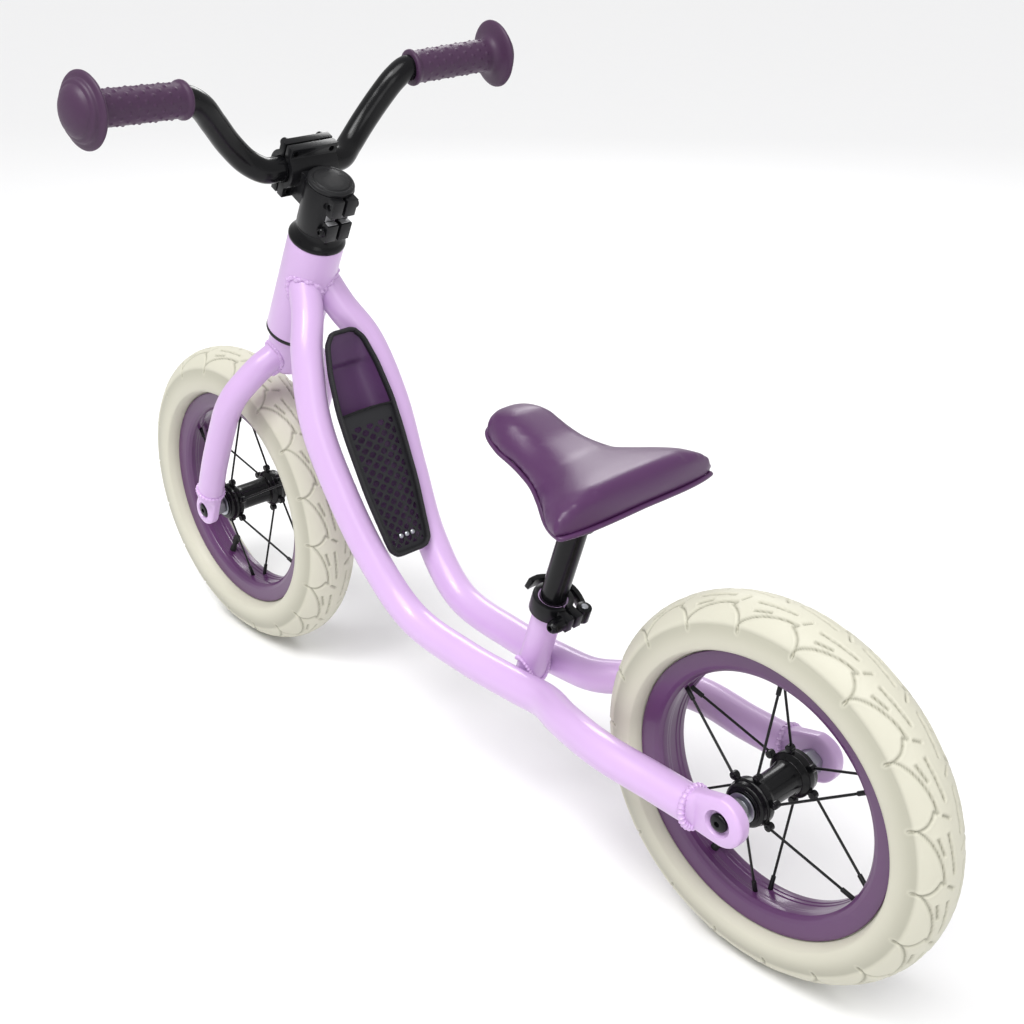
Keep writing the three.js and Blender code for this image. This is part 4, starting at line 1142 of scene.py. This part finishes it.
# ------------------------------------------------------------------ frame
@dataclass
class MainFrame:
    """The welded frame: twin tubes, head tube, seat tube and rear ends."""

    tube_radius: float = 14.3
    head_radius: float = 25.0
    head_bottom: float = 229.0
    head_length: float = 102.0
    seat_radius: float = 12.7
    seat_length: float = 90.0
    weld_end: float = 26.0
    path: tuple[tuple[float, float, float], ...] = (
        (536, 9, 416), (520, 18, 388), (503, 33, 357), (482, 43, 303), (455, 40, 244), (421, 33, 186),
        (375, 28.3, 145), (305, 27.5, 135), (238, 27.3, 135.5), (206, 28.8, 138), (170, 43, 144),
        (116, 56, 149), (65, 55, 147.5), (27, 55, 147))

    def tubes(self) -> None:
        """The two S-bend tubes, and their weld beads at the head tube."""
        for side in Side:
            points = self.path if side is Side.LEFT else mirror_y(self.path)
            line = smooth_path(points, 220)
            bead = self.head_seam(line)
            piece = settle(swept(line, self.tube_radius, 48), f"{side.word}_tube", GROUND)
            SHOP.fit(piece, "frame", LILAC, "lilac_paint", f"{side.word}_frame_tube")
            piece = settle(weld(bead, 2.3, 0.8), f"{side.word}_head_weld", GROUND, 60)
            SHOP.fit(piece, "frame", LILAC, "lilac_paint")

    def head_seam(self, line: np.ndarray) -> np.ndarray:
        """Where a tube's skin meets the head tube's, as a closed line.

        Args:
            line: the tube's middle line.

        Returns:
            The seam's points.
        """
        one, other = ring_frames(line)
        lean = math.radians(STEERING.lean)
        axis = np.array((-math.sin(lean), 0.0, math.cos(lean)))
        foot = (np.array(FRONT_AXLE.origin) - np.array(GROUND.origin)) / MM
        seam = []
        for angle in np.linspace(0, 2 * math.pi, 73):
            skin = line + self.tube_radius * (math.cos(angle) * one + math.sin(angle) * other)
            away = skin - foot
            away -= np.outer(away @ axis, axis)
            far = np.linalg.norm(away, axis=1)
            inside = np.nonzero(far[:110] < self.head_radius)[0]
            seam.append(skin[inside[-1] if len(inside) else 0])
        seam[-1] = seam[0]
        return np.array(seam)

    def head(self) -> None:
        """The head tube, its two ends slightly rounded."""
        top = self.head_bottom + self.head_length
        loop = [(17.6, self.head_bottom + 8), (21.4, self.head_bottom + 8), (21.4, self.head_bottom),
                (self.head_radius, self.head_bottom), (self.head_radius, self.head_bottom + 30),
                (self.head_radius, top - 30), (self.head_radius, top), (21.4, top), (21.4, top - 8), (17.6, top - 8)]
        piece = settle(turned(softened(loop, 0.8, closed=True), 96), "head_tube_turned", STEERING)
        SHOP.fit(piece, "frame", LILAC, "lilac_paint", "head_tube")
        SHOP.redress(STEEL, "lower_headset_bearing", "upper_headset_bearing")

    def seat(self) -> None:
        """The slit seat tube and the welds round its foot."""
        loop = [(11.5, 0.0), (self.seat_radius, 0.0), (self.seat_radius, 40.0), (self.seat_radius, self.seat_length),
                (11.5, self.seat_length)]
        pipe = turned(softened(loop, 0.4, closed=True), 72)
        pipe = carved(pipe, block((20, 2.0, 30), (-12.7, 0, self.seat_length - 10), 0.6))
        settle(pipe, "seat_tube_slit", SEAT)
        SHOP.fit(pipe, "frame", LILAC, "lilac_paint", "seat_tube")
        a = np.linspace(0, 2 * math.pi, 97)
        seam = self.seat_radius + 1.0
        ring = np.stack((seam * np.cos(a), seam * np.sin(a), 7 + 15 * np.sin(a) ** 2 + 2 * np.cos(a)), axis=1)
        ring[-1] = ring[0]
        piece = settle(weld(ring, 1.5, 0.7), "seat_tube_weld", SEAT, 60)
        SHOP.fit(piece, "frame", LILAC, "lilac_paint")

    def rear_ends(self) -> None:
        """The flattened rear ends, each with a dished seat for its bolt."""
        for side in Side:
            sign = side.value
            lug = surface(64, 72, loft_lug(20.0, 13.9, self.weld_end + 4, 7.0, (55.0, 55.0), -3.0))
            if sign < 0:
                move_points(lug, points_of(lug) * (1, -1, 1))
            tidy(lug)
            dish = turned([(0, 57.4), (8.6, 57.4), (9.2, 58.0), (11.0, 62.2), (11.0, 66), (0, 66)], 48, Turn.ACROSS)
            move_points(dish, points_of(dish) * (1, sign, 1))
            tidy(dish)
            lug = settle(carved(lug, dish), f"{side.word}_rear_end", REAR_AXLE, 40)
            SHOP.fit(lug, "frame", LILAC, "lilac_paint", f"{side.word}_rear_dropout")
            a = np.linspace(0, 2 * math.pi, 91)
            ring = np.stack((self.weld_end + 3.0 * np.cos(a), sign * (55 + 14.4 * np.sin(a)),
                             -3 + 14.5 * np.cos(a)), axis=1)
            ring[-1] = ring[0]
            piece = settle(weld(ring, 2.2, 1.2, 3.4), f"{side.word}_rear_end_weld", REAR_AXLE, 60)
            SHOP.fit(piece, "frame", LILAC, "lilac_paint")

    def build(self) -> None:
        """Makes every piece of the frame."""
        self.tubes()
        self.head()
        self.seat()
        self.rear_ends()
        AxleSet("rear", REAR_AXLE, "frame", 62.0, 14.0).build()


@dataclass
class Fork:
    """The straight fork with its crown, legs and ends."""

    tube_radius: float = 12.7
    outer: float = 57.5
    thickness: float = 11.0
    leg_end: float = 27.0
    path: tuple[tuple[float, float, float], ...] = (
        (0, 6, 206), (0, 15, 197), (0, 28, 187), (0, 40, 173), (0, 50, 158), (0, 55, 140), (0, 56, 115),
        (0, 56, 70), (0, 53, 22))

    def build(self) -> None:
        """Makes the crown, both legs and both ends."""
        crown = [(12.1, 184), (17, 184), (20, 188), (20, 219), (24, 224.6), (14.3, 224.6), (14.3, 384), (12.1, 384)]
        piece = settle(turned(softened(crown, 0.9, closed=True), 72), "crown", STEERING)
        SHOP.fit(piece, "fork", LILAC, "lilac_paint", "fork_steerer")
        for side in Side:
            sign = side.value
            points = self.path if side is Side.LEFT else mirror_y(self.path)
            line = smooth_path(points, 130)
            piece = settle(swept(line, self.tube_radius, 44), f"{side.word}_leg", STEERING)
            SHOP.fit(piece, "fork", LILAC, "lilac_paint", f"{side.word}_fork_leg")
            piece = settle(weld(self.crown_seam(line), 2.0, 0.7), f"{side.word}_crown_weld", STEERING, 60)
            SHOP.fit(piece, "fork", LILAC, "lilac_paint")
            self.end(side)
        AxleSet("front", FRONT_AXLE, "fork", self.outer, self.thickness).build()

    def crown_seam(self, line: np.ndarray) -> np.ndarray:
        """Where a leg's skin meets the crown's."""
        one, other = ring_frames(line)
        seam = []
        for angle in np.linspace(0, 2 * math.pi, 61):
            skin = line + self.tube_radius * (math.cos(angle) * one + math.sin(angle) * other)
            inside = np.nonzero(np.hypot(skin[:60, 0], skin[:60, 1]) < 20.0)[0]
            seam.append(skin[inside[-1] if len(inside) else 0])
        seam[-1] = seam[0]
        return np.array(seam)

    def end(self, side: Side) -> None:
        """One flattened fork end, with its weld."""
        sign = side.value
        lug = surface(60, 64, loft_lug(15.0, 12.6, self.leg_end, 5.5, (53.6, 52.0), 0.0))
        pts = points_of(lug)
        move_points(lug, np.stack((-pts[:, 2], sign * pts[:, 1], pts[:, 0]), axis=1))
        tidy(lug)
        dish = turned([(0, 53.7), (6.6, 53.7), (7.1, 54.2), (8.8, 57.9), (8.8, 62), (0, 62)], 48, Turn.ACROSS)
        move_points(dish, points_of(dish) * (1, sign, 1))
        tidy(dish)
        lug = settle(carved(lug, dish), f"{side.word}_fork_end", STEERING, 40)
        SHOP.fit(lug, "fork", LILAC, "lilac_paint", f"{side.word}_fork_dropout")
        a = np.linspace(0, 2 * math.pi, 81)
        ring = np.stack((12.9 * np.cos(a), sign * (53.6 + 12.8 * np.sin(a)), self.leg_end + 1.0 + 0 * a), axis=1)
        ring[-1] = ring[0]
        piece = settle(weld(ring, 1.7, 0.7, 3.0), f"{side.word}_fork_end_weld", STEERING, 60)
        SHOP.fit(piece, "fork", LILAC, "lilac_paint")


# ------------------------------------------------------------------ steering
@dataclass
class Cockpit:
    """Headset, stem, handlebar and grips."""

    head_top: float = 331.0
    stem_bottom: float = 345.6
    stem_top: float = 388.6
    stem_radius: float = 21.0
    reach: float = 37.3
    clamp: float = 381.6
    bar_radius: float = 11.1
    grip_length: float = 106.0
    grip_root: tuple[float, float, float] = (-6.0, 114.0, 68.6)
    grip_way: tuple[float, float, float] = (-0.115, 0.992, 0.047)
    path: tuple[tuple[float, float, float], ...] = (
        (0, 10, 0), (0, 20, 0), (0, 28, 0), (1, 40, 1), (6, 53, 9), (6, 69, 26), (1, 85, 46), (-4, 98, 61))

    def headset(self) -> None:
        """The conical cap above the head tube and the seal below it."""
        base = self.head_top + 0.3
        cap = [(r, base + up) for r, up in (
            (14.6, 0), (25.3, 0), (25.4, 2.2), (24.4, 4.0), (22.6, 6.5), (21.0, 9.5), (20.3, 11.5), (20.2, 14),
            (14.6, 14))]
        piece = settle(turned(softened(cap, 0.6, closed=True), 80), "headset_cone", STEERING, 50)
        SHOP.fit(piece, "fork", BLACK_GLOSS, "black_metal", "upper_headset_cap")
        seal = [(14.6, 225.1), (24.6, 225.1), (25.2, 226.0), (25.2, 228.2), (24.6, 228.7), (14.6, 228.7)]
        piece = settle(turned(softened(seal, 0.3, closed=True), 80), "lower_seal_lip", STEERING)
        SHOP.fit(piece, "fork", BLACK_RUBBER, "black_rubber", "lower_headset_seal")

    def stem(self) -> None:
        """The stem, its face plate, its lid and its wedge faces, whose grey plates are a painted highlight."""
        piece = settle(from_cad("stem", 1.1), "stem_body", Axes(), 38)
        SHOP.fit(piece, "fork", BLACK_SATIN, "black_metal", "stem")
        piece = settle(from_cad("stem_face_plate", 1.0), "stem_face", Axes(), 38)
        SHOP.fit(piece, "fork", BLACK_SATIN, "black_metal", "stem_face_plate")
        top = self.stem_top
        lid = [(r, top + up) for r, up in (
            (0, -2.6), (12.2, -2.6), (12.2, 0.3), (20.4, 0.3), (20.6, 2.4), (19.6, 3.9), (17.4, 4.3), (16.7, 3.7),
            (15.9, 3.7), (15.2, 4.6), (10.0, 4.9), (0, 5.0))]
        piece = settle(turned(softened(lid, 0.35), 80), "stem_lid", STEERING)
        SHOP.fit(piece, "fork", BLACK_PLASTIC, "black_plastic", "stem_top_cap")
        middle = (self.stem_bottom + top) / 2
        # Thin grey plates on the wedge faces are a painted highlight where light from above falls.
        faces = []
        for side in (1, -1):
            face = block((5.2, 9.4, 0.7), (-20.6, side * 7.0, middle - 3.6), 0.25)
            faces.append(face)
            faces.append(block((0.7, 9.4, 6.4), (-17.4, side * 7.0, middle), 0.25))
        piece = settle(joined(faces), "stem_wedge_faces", STEERING)
        SHOP.fit(piece, "fork", WEDGE_PAINTED_HIGHLIGHT, "black_metal")

    def bolts(self) -> None:
        """The clamp bolts of the stem, with their sockets."""
        pinch_x = 2 - self.stem_radius
        for name, z, sign in (("upper", self.stem_top - 9, -1), ("lower", self.stem_bottom + 9, 1)):
            bolt = joined([bolt_head(4.3, 4.2, 2.1), turned([(0, -24), (2.5, -24), (2.5, 0.5), (0, 0.5)], 20)])
            face_sideways(bolt, sign, pinch_x, sign * 12.9, z)
            settle(bolt, f"{name}_clamp_screw", STEERING)
            SHOP.fit(bolt, "fork", BLACK_GLOSS, "black_metal", f"{name}_pinch_bolt")
        for level, rise in (("upper", 19.0), ("lower", -19.0)):
            for side in Side:
                bolt = joined([bolt_head(4.2, 4.6, 2.2), turned([(0, -14), (2.3, -14), (2.3, 0.5), (0, 0.5)], 20)])
                face_forward(bolt, self.reach + 8.4, side.value * 18.0, self.clamp + rise)
                settle(bolt, f"{level}_{side.word}_face_screw", STEERING)
                SHOP.fit(bolt, "fork", BLACK_GLOSS, "black_metal", f"{level}_{side.word}_face_bolt")

    def along(self, distance: np.ndarray | float) -> np.ndarray:
        """A point on the left grip's axis."""
        way = np.array(self.grip_way) / np.linalg.norm(self.grip_way)
        return np.array(self.grip_root) + np.outer(np.atleast_1d(distance), way)

    def bar(self) -> None:
        """The bent handlebar."""
        left = [*self.path, *self.along(np.array((-4.0, 4.0, 30.0, self.grip_length - 12))).tolist()]
        line = smooth_path([*reversed(mirror_y(left)), *left], 240)
        piece = settle(swept(line, self.bar_radius, 44), "bar", BAR, 60)
        SHOP.fit(piece, "handlebars", BLACK_GLOSS, "black_metal", "handlebar")

    def grip(self, side: Side) -> None:
        """A dotted grip with a stepped disc and dome at its end.

        Args:
            side: the hand it is for.
        """
        root = [(11.5, 0.3), (14.6, 0.0), (15.5, 0.7), (15.8, 2.0), (15.6, 3.6), (14.6, 4.8), (14.0, 6.0)]
        barrel = [(13.9 + 0.3 * t, 7.5 + 73.0 * t) for t in np.linspace(0, 1, 92)]
        end = [(14.5, 82.0), (15.4, 84.0), (17.2, 85.8), (20.5, 87.2), (25.0, 88.4), (28.3, 89.6), (29.4, 90.8),
               (29.5, 91.8), (28.8, 92.8), (26.6, 93.6), (24.8, 94.1), (24.0, 94.7), (23.7, 96.2), (23.2, 97.6),
               (21.8, 98.5), (20.4, 98.8), (19.6, 99.4), (19.0, 100.6), (17.2, 102.3), (14.0, 104.0), (9.5, 105.4),
               (4.5, 106.0), (0.0, 106.1)]
        line = np.array(root + barrel + end)
        way = np.array(self.grip_way) / np.linalg.norm(self.grip_way)
        one = np.cross(way, (0.0, 0.0, 1.0))
        one /= np.linalg.norm(one)
        other = np.cross(way, one)

        def shape(u: np.ndarray, v: np.ndarray) -> np.ndarray:
            """One point of the grip's skin."""
            radius, along = line[np.rint(v * (len(line) - 1)).astype(int)].T
            row = np.rint((along - 14.0) / 7.6)
            turn = u * 11 + np.where(np.mod(row, 2) > 0, 0.5, 0.0)
            across = (turn - np.rint(turn)) / 11 * 2 * np.pi * 14.0
            gap = np.hypot(across, along - 14.0 - 7.6 * row)
            dot = 0.85 * np.clip(1.6 - gap, 0, 1.0) ** 0.8
            radius = radius + np.where((row >= 0) & (row <= 8), dot, 0.0)
            a = 2 * np.pi * u
            return (np.array(self.grip_root) + np.outer(along, way)
                    + radius[:, None] * (np.cos(a)[:, None] * one + np.sin(a)[:, None] * other))

        piece = surface(132, len(line) - 1, shape)
        if side is Side.RIGHT:
            move_points(piece, points_of(piece) * (1, -1, 1))
            tidy(piece)
        settle(piece, f"{side.word}_dotted_grip", BAR, 60)
        SHOP.fit(piece, "handlebars", MAUVE, "mauve_grip", f"{side.word}_grip")

    def build(self) -> None:
        """Makes every piece above the fork."""
        self.headset()
        self.stem()
        self.bolts()
        self.bar()
        for side in Side:
            self.grip(side)


# ------------------------------------------------------------------ saddle
@dataclass
class Saddle:
    """Post, clamp, pan and cushion."""

    length: float = 160.0
    half_width: float = 87.0
    front: float = 289.0
    level: float = 329.0
    post_foot: float = 29.0
    post_length: float = 158.0
    post_radius: float = 11.1
    post_wall: float = 2.0
    collar: float = 83.5
    skewer: float = 21.5

    def outline(self, t: np.ndarray) -> tuple[np.ndarray, np.ndarray, np.ndarray, np.ndarray]:
        """Half width, edge height, rise and crown from the tail, 0, to the nose, 1."""
        wide = 34 * (1 - np.exp(-((t / 0.3) ** 2))) + self.half_width * np.exp(-((t / 0.36) ** 2))
        edge = self.level + 24 * np.maximum(t - 0.42, 0) ** 0.9 + 14 * np.maximum(t - 0.6, 0)
        rise = 3 * np.sin(np.pi * np.minimum(t / 0.9, 1))
        return wide, edge, rise, 22 + 4 * np.cos(2 * np.pi * t)

    def skin(self, inset: float, skirt: float, u: np.ndarray, v: np.ndarray) -> np.ndarray:
        """One point of the cushion's skin.

        Args:
            inset: how far it stays inside the outline.
            skirt: how far the sides hang below the edge.
            u: round the section, 0 to 1.
            v: from tail to nose, 0 to 1.

        Returns:
            The points, in millimetres.
        """
        way = -np.cos(np.pi * v)
        round_ = np.sqrt(np.maximum(1 - way * way, 1e-9))
        wide, edge, rise, crown = self.outline((way + 1) / 2)
        blunt = np.sqrt(np.minimum(1, round_ * np.where(way < 0, 2.6, 1.25)))
        a = 2 * np.pi * u
        side = np.sign(np.cos(a)) * np.abs(np.cos(a)) ** 0.62
        up = np.sign(np.sin(a)) * np.abs(np.sin(a)) ** 0.8
        thick = np.where(up > 0, crown - inset, skirt)
        x = self.front - self.length / 2 + (self.length / 2 - inset) * way
        y = side * (wide - inset) * blunt * (1 - 0.05 * np.maximum(-up, 0))
        z = edge + rise * (1 - side * side) + up * thick * blunt
        return np.stack((x, y, z), axis=1)

    def cushion(self) -> None:
        """The padded cushion, swollen by air and subdivided."""
        piece = surface(96, 84, lambda u, v: self.skin(1.6, 5.0, u, v))
        settle(piece, "saddle_padding", GROUND, 60)
        puffed(piece, 0.004, 4.0, 0.0025)
        SHOP.fit(piece, "saddle", SADDLE_SKIN, "violet_leather", "saddle_cushion")

    def piping(self) -> None:
        """A thin moulded lip along the cushion's lower edge."""
        v = np.concatenate((np.linspace(0.0, 1.0, 90), np.linspace(1.0, 0.0, 90)[1:]))
        u = np.where(np.arange(len(v)) < 90, 0.965, 0.535)
        line = self.skin(2.9, 5.0, u, v)
        keep = np.concatenate(([True], np.linalg.norm(np.diff(line, axis=0), axis=1) > 0.4))
        line = line[keep]
        line[-1] = line[0]
        piece = settle(swept(line, 1.9, 12, closed=True), "saddle_lip", GROUND, 60)
        SHOP.fit(piece, "saddle", SADDLE_SKIN, "violet_leather")

    def post(self) -> None:
        """The seat post and the pan it carries."""
        top = self.post_foot + self.post_length
        outer, bore = self.post_radius, self.post_radius - self.post_wall
        loop = [(bore, self.post_foot), (outer, self.post_foot), (outer, 100), (outer, top), (bore, top)]
        piece = settle(turned(softened(loop, 0.5, closed=True), 64), "post", SEAT)
        SHOP.fit(piece, "saddle", BLACK_GLOSS, "black_metal", "seat_post")
        piece = settle(from_cad("saddle_pan", 0.0), "pan", Axes(), 50)
        SHOP.fit(piece, "saddle", BLACK_PLASTIC, "black_plastic", "saddle_pan")

    def clamp(self) -> None:
        """The collar, its skewer, nut and quick-release lever."""
        piece = settle(from_cad("seat_collar", 0.7), "clamp_collar", Axes(), 38)
        SHOP.fit(piece, "frame", BLACK_SATIN, "black_metal", "seat_collar")
        SHOP.redress(STEEL, "seat_skewer")
        nut = bolt_head(6.3, 13.0, 2.6)
        face_sideways(nut, 1, -self.skewer, 8.9, self.collar)
        settle(nut, "clamp_nut", SEAT)
        SHOP.fit(nut, "frame", BLACK_GLOSS, "black_metal", "seat_skewer_nut")
        piece = settle(from_cad("quick_release_lever", 0.9), "clamp_lever", Axes(), 45)
        SHOP.fit(piece, "lever", BLACK_GLOSS, "black_metal", "quick_release_lever")
        pins = []
        for side in (1, -1):
            pin = turned([(0, 0), (3.0, 0), (3.0, 0.9), (2.4, 1.4), (0, 1.5)], 28)
            move_points(pin, points_of(pin) * (1, 1, side) + (-self.skewer, -15.3, self.collar + side * 6.5))
            tidy(pin)
            pins.append(pin)
        piece = settle(joined(pins), "clamp_pins", SEAT)
        SHOP.fit(piece, "lever", STEEL, "bright_steel")

    def build(self) -> None:
        """Makes every piece of the saddle and its clamp."""
        self.cushion()
        self.piping()
        self.post()
        self.clamp()


# ------------------------------------------------------------------ pouch
@dataclass
class Pouch:
    """The slim pouch between the frame tubes, open towards the rider."""

    length: float = 207.0
    depth: float = 19.0
    mouth: float = 134.0
    outline: tuple[tuple[float, float], ...] = (
        (17, 0), (23, 8), (29, 60), (31, 110), (31, 138), (27, 172), (21, 196), (13, 207))

    def half(self, up: np.ndarray) -> np.ndarray:
        """Half the pouch's width at a height."""
        width, height = np.array(self.outline).T
        return np.interp(up, height, width)

    @staticmethod
    def local(x: np.ndarray, up: np.ndarray, out: np.ndarray, length: float) -> np.ndarray:
        """Across, up and out of the pouch, as points on its own axes."""
        return np.stack((-out, -x, up - length), axis=1)

    def rim_line(self, inset: float, out: float) -> np.ndarray:
        """The closed line of the pouch's edge."""
        side = [(w - inset, min(max(h, inset), self.length - inset), out) for w, h in self.outline]
        loop = side + [(-w, h, o) for w, h, o in reversed(side)]
        rounded: list[tuple[float, float, float]] = []
        for k, here in enumerate(loop):
            a, b = np.array(loop[k - 1]), np.array(loop[(k + 1) % len(loop)])
            p = np.array(here)
            for t in (-0.3, -0.15, 0.15, 0.3):
                q = p + (a - p) * -t if t < 0 else p + (b - p) * t
                rounded.append(tuple(q))
        rounded.append(rounded[0])
        pts = smooth_path(rounded, 260)
        pts[-1] = pts[0]
        return self.local(pts[:, 0], pts[:, 1], pts[:, 2], self.length)

    def shell(self) -> None:
        """The moulded hollow back, with a shelf below its top."""

        def shape(u: np.ndarray, v: np.ndarray) -> np.ndarray:
            """One point of the hollow."""
            up = 1.5 + (self.length - 3.0) * v
            across = 2 * u - 1
            x = across * (self.half(up) - 1.5)
            bowl = (1 - np.abs(across) ** 4.0) * (1 - np.abs(2 * v - 1) ** 8)
            narrow = np.clip(self.half(up) / 26.0, 0.35, 1.0)
            shelf = 4.5 / (1 + np.exp(-(up - 178) / 1.1)) * (1 - across ** 6)
            fold = 1.2 * np.exp(-((across + 0.25) / 0.5) ** 2) * np.clip((up - 110) / 30, 0, 1)
            return self.local(x, up, -(self.depth - 2.4) * bowl * narrow + (shelf + fold) * bowl, self.length)

        piece = surface(56, 120, shape, cap=False)
        pick(piece)
        bpy.ops.object.modifier_add(type="SOLIDIFY")
        wall = piece.modifiers[-1]
        wall.thickness, wall.offset = 1.8, 0.0
        bpy.ops.object.modifier_apply(modifier=wall.name)
        settle(piece, "pouch_moulding", POUCH, 50)
        SHOP.fit(piece, "frame", SHELL, "violet_shell", "pouch_shell")

    def binding(self) -> None:
        """The black tape that binds the pouch's edge."""
        line = self.rim_line(1.6, 1.4)
        piece = settle(swept(line, 3.5, 20, closed=True, flat=0.62), "pouch_tape", POUCH, 60)
        SHOP.fit(piece, "frame", TAPE, "black_webbing", "pouch_binding")
        a = np.linspace(-1, 1, 40)
        x = a * (self.half(np.array([self.mouth]))[0] - 3.0)
        bar = self.local(x, np.full(40, self.mouth) - 1.0 + 1.4 * (1 - a ** 2), 0.8 + 2.4 * (1 - a ** 2), self.length)
        piece = settle(swept(bar, 1.7, 14, flat=0.6), "pocket_hem", POUCH, 60)
        SHOP.fit(piece, "frame", TAPE, "black_webbing")

    def net(self) -> None:
        """The mesh pocket, stretched over the lower two thirds."""

        def shape(u: np.ndarray, v: np.ndarray) -> np.ndarray:
            """One point of the net."""
            up = 3.0 + (self.mouth - 3.0) * v
            across = 2 * u - 1
            bulge = 2.2 * (1 - across ** 2) * np.sin(np.pi * v * 0.6)
            return self.local(across * (self.half(up) - 2.6), up, 0.4 + bulge, self.length)

        piece = surface(40, 90, shape, cap=False)
        pick(piece)
        bpy.ops.object.modifier_add(type="SOLIDIFY")
        piece.modifiers[-1].thickness = 0.5
        bpy.ops.object.modifier_apply(modifier=piece.modifiers[-1].name)
        settle(piece, "pocket_net", POUCH, 60)
        SHOP.fit(piece, "frame", NET, "black_mesh", "pouch_mesh")
        rows = np.linspace(3.0, self.mouth, 50)
        area = float(np.trapz(2 * (self.half(rows) - 2.6), rows)) * MM * MM

    def studs(self) -> None:
        """Three small bright studs at the foot."""
        parts = []
        for x in (-6.5, 0.0, 6.5):
            stud = turned([(0, 0), (2.2, 0), (2.3, 0.5), (1.7, 1.3), (0.8, 1.7), (0, 1.8)], 24)
            pts = points_of(stud)
            move_points(stud, self.local(pts[:, 0] + x, pts[:, 1] + 17.0, pts[:, 2] + 1.6, self.length))
            tidy(stud)
            parts.append(stud)
        piece = settle(joined(parts), "pouch_studs", POUCH)
        SHOP.fit(piece, "frame", STEEL, "bright_steel")

    def build(self) -> None:
        """Makes every piece of the pouch."""
        self.shell()
        self.binding()
        self.net()
        self.studs()


# ------------------------------------------------------------------ studio
@dataclass(frozen=True)
class Lamp:
    """A soft square light aimed at the bike."""

    name: str
    place: tuple[float, float, float]
    power: float
    size: float

    def build(self) -> None:
        """Adds the lamp."""
        deselect()
        bpy.ops.object.light_add(type="AREA", location=self.place)
        lamp = bpy.context.object
        lamp.name = self.name
        lamp.data.energy, lamp.data.size = self.power, self.size
        aim = Vector((0.0, 0.0, 0.3)) - Vector(self.place)
        lamp.rotation_euler = aim.to_track_quat("-Z", "Y").to_euler()


@dataclass(frozen=True)
class Studio:
    """Pale floor, soft lamps and the camera."""

    camera: tuple[float, float, float] = (-0.82548, 0.70349, 0.77638)
    azimuth: float = -132.703
    elevation: float = 25.858
    roll: float = -0.3226
    lens: float = 50.0
    sky: Colour = (1.0, 1.0, 1.0)
    sky_strength: float = 0.62
    sun_strength: float = 1.55
    sun_aim: tuple[float, float, float] = (0.30, -0.42, -1.0)
    lamps: tuple[Lamp, ...] = (
        Lamp("key_lamp", (0.1, 1.0, 2.0), 15.0, 0.7),
        Lamp("fill_lamp", (-1.9, 0.9, 1.2), 6.0, 1.0),
        Lamp("rim_lamp", (1.3, -1.5, 1.5), 14.0, 0.8),
    )

    def build(self) -> None:
        """Adds the floor, the lamps, the sky and the camera."""
        deselect()
        bpy.ops.mesh.primitive_plane_add(size=30.0, location=(0, 0, -0.0006))
        floor = bpy.context.object
        floor.name = "studio_floor"
        SHOP.dress(floor, FLOOR)
        for lamp in self.lamps:
            lamp.build()
        deselect()
        bpy.ops.object.light_add(type="SUN", location=(0, 0, 3))
        sun = bpy.context.object
        sun.name = "soft_sun"
        sun.data.energy, sun.data.angle = self.sun_strength, math.radians(35)
        sun.rotation_euler = Vector(self.sun_aim).to_track_quat("-Z", "Y").to_euler()
        world = bpy.data.worlds.new("studio_sky")
        world.use_nodes = True
        sky = world.node_tree.nodes["Background"]
        sky.inputs["Color"].default_value = (*self.sky, 1.0)
        sky.inputs["Strength"].default_value = self.sky_strength
        bpy.context.scene.world = world
        bpy.context.scene.view_settings.view_transform = "Standard"
        a, e, r = (math.radians(x) for x in (self.azimuth, self.elevation, self.roll))
        back = Vector((math.sin(a) * math.cos(e), -math.cos(a) * math.cos(e), math.sin(e)))
        right = Vector((0, 0, 1)).cross(back).normalized()
        up = back.cross(right)
        side = right * math.cos(r) + up * math.sin(r)
        top = up * math.cos(r) - right * math.sin(r)
        bpy.ops.object.camera_add()
        eye = bpy.context.object
        eye.matrix_world = Matrix((
            (side.x, top.x, back.x, self.camera[0]), (side.y, top.y, back.y, self.camera[1]),
            (side.z, top.z, back.z, self.camera[2]), (0, 0, 0, 1)))
        eye.data.lens, eye.data.sensor_width, eye.data.clip_start = self.lens, 36.0, 0.02
        bpy.context.scene.camera = eye


def main() -> None:
    """Builds the bike, one sub-assembly after another."""
    logging.basicConfig(level=logging.INFO, format="%(message)s")
    Studio().build()
    MainFrame().build()
    Fork().build()
    Wheel("rear", REAR_AXLE, 150.0, 27.5).build()
    Wheel("front", FRONT_AXLE, 155.0, 29.0).build()
    Cockpit().build()
    Saddle().build()
    Pouch().build()
    deselect()


if __name__ == "__main__":
    main()
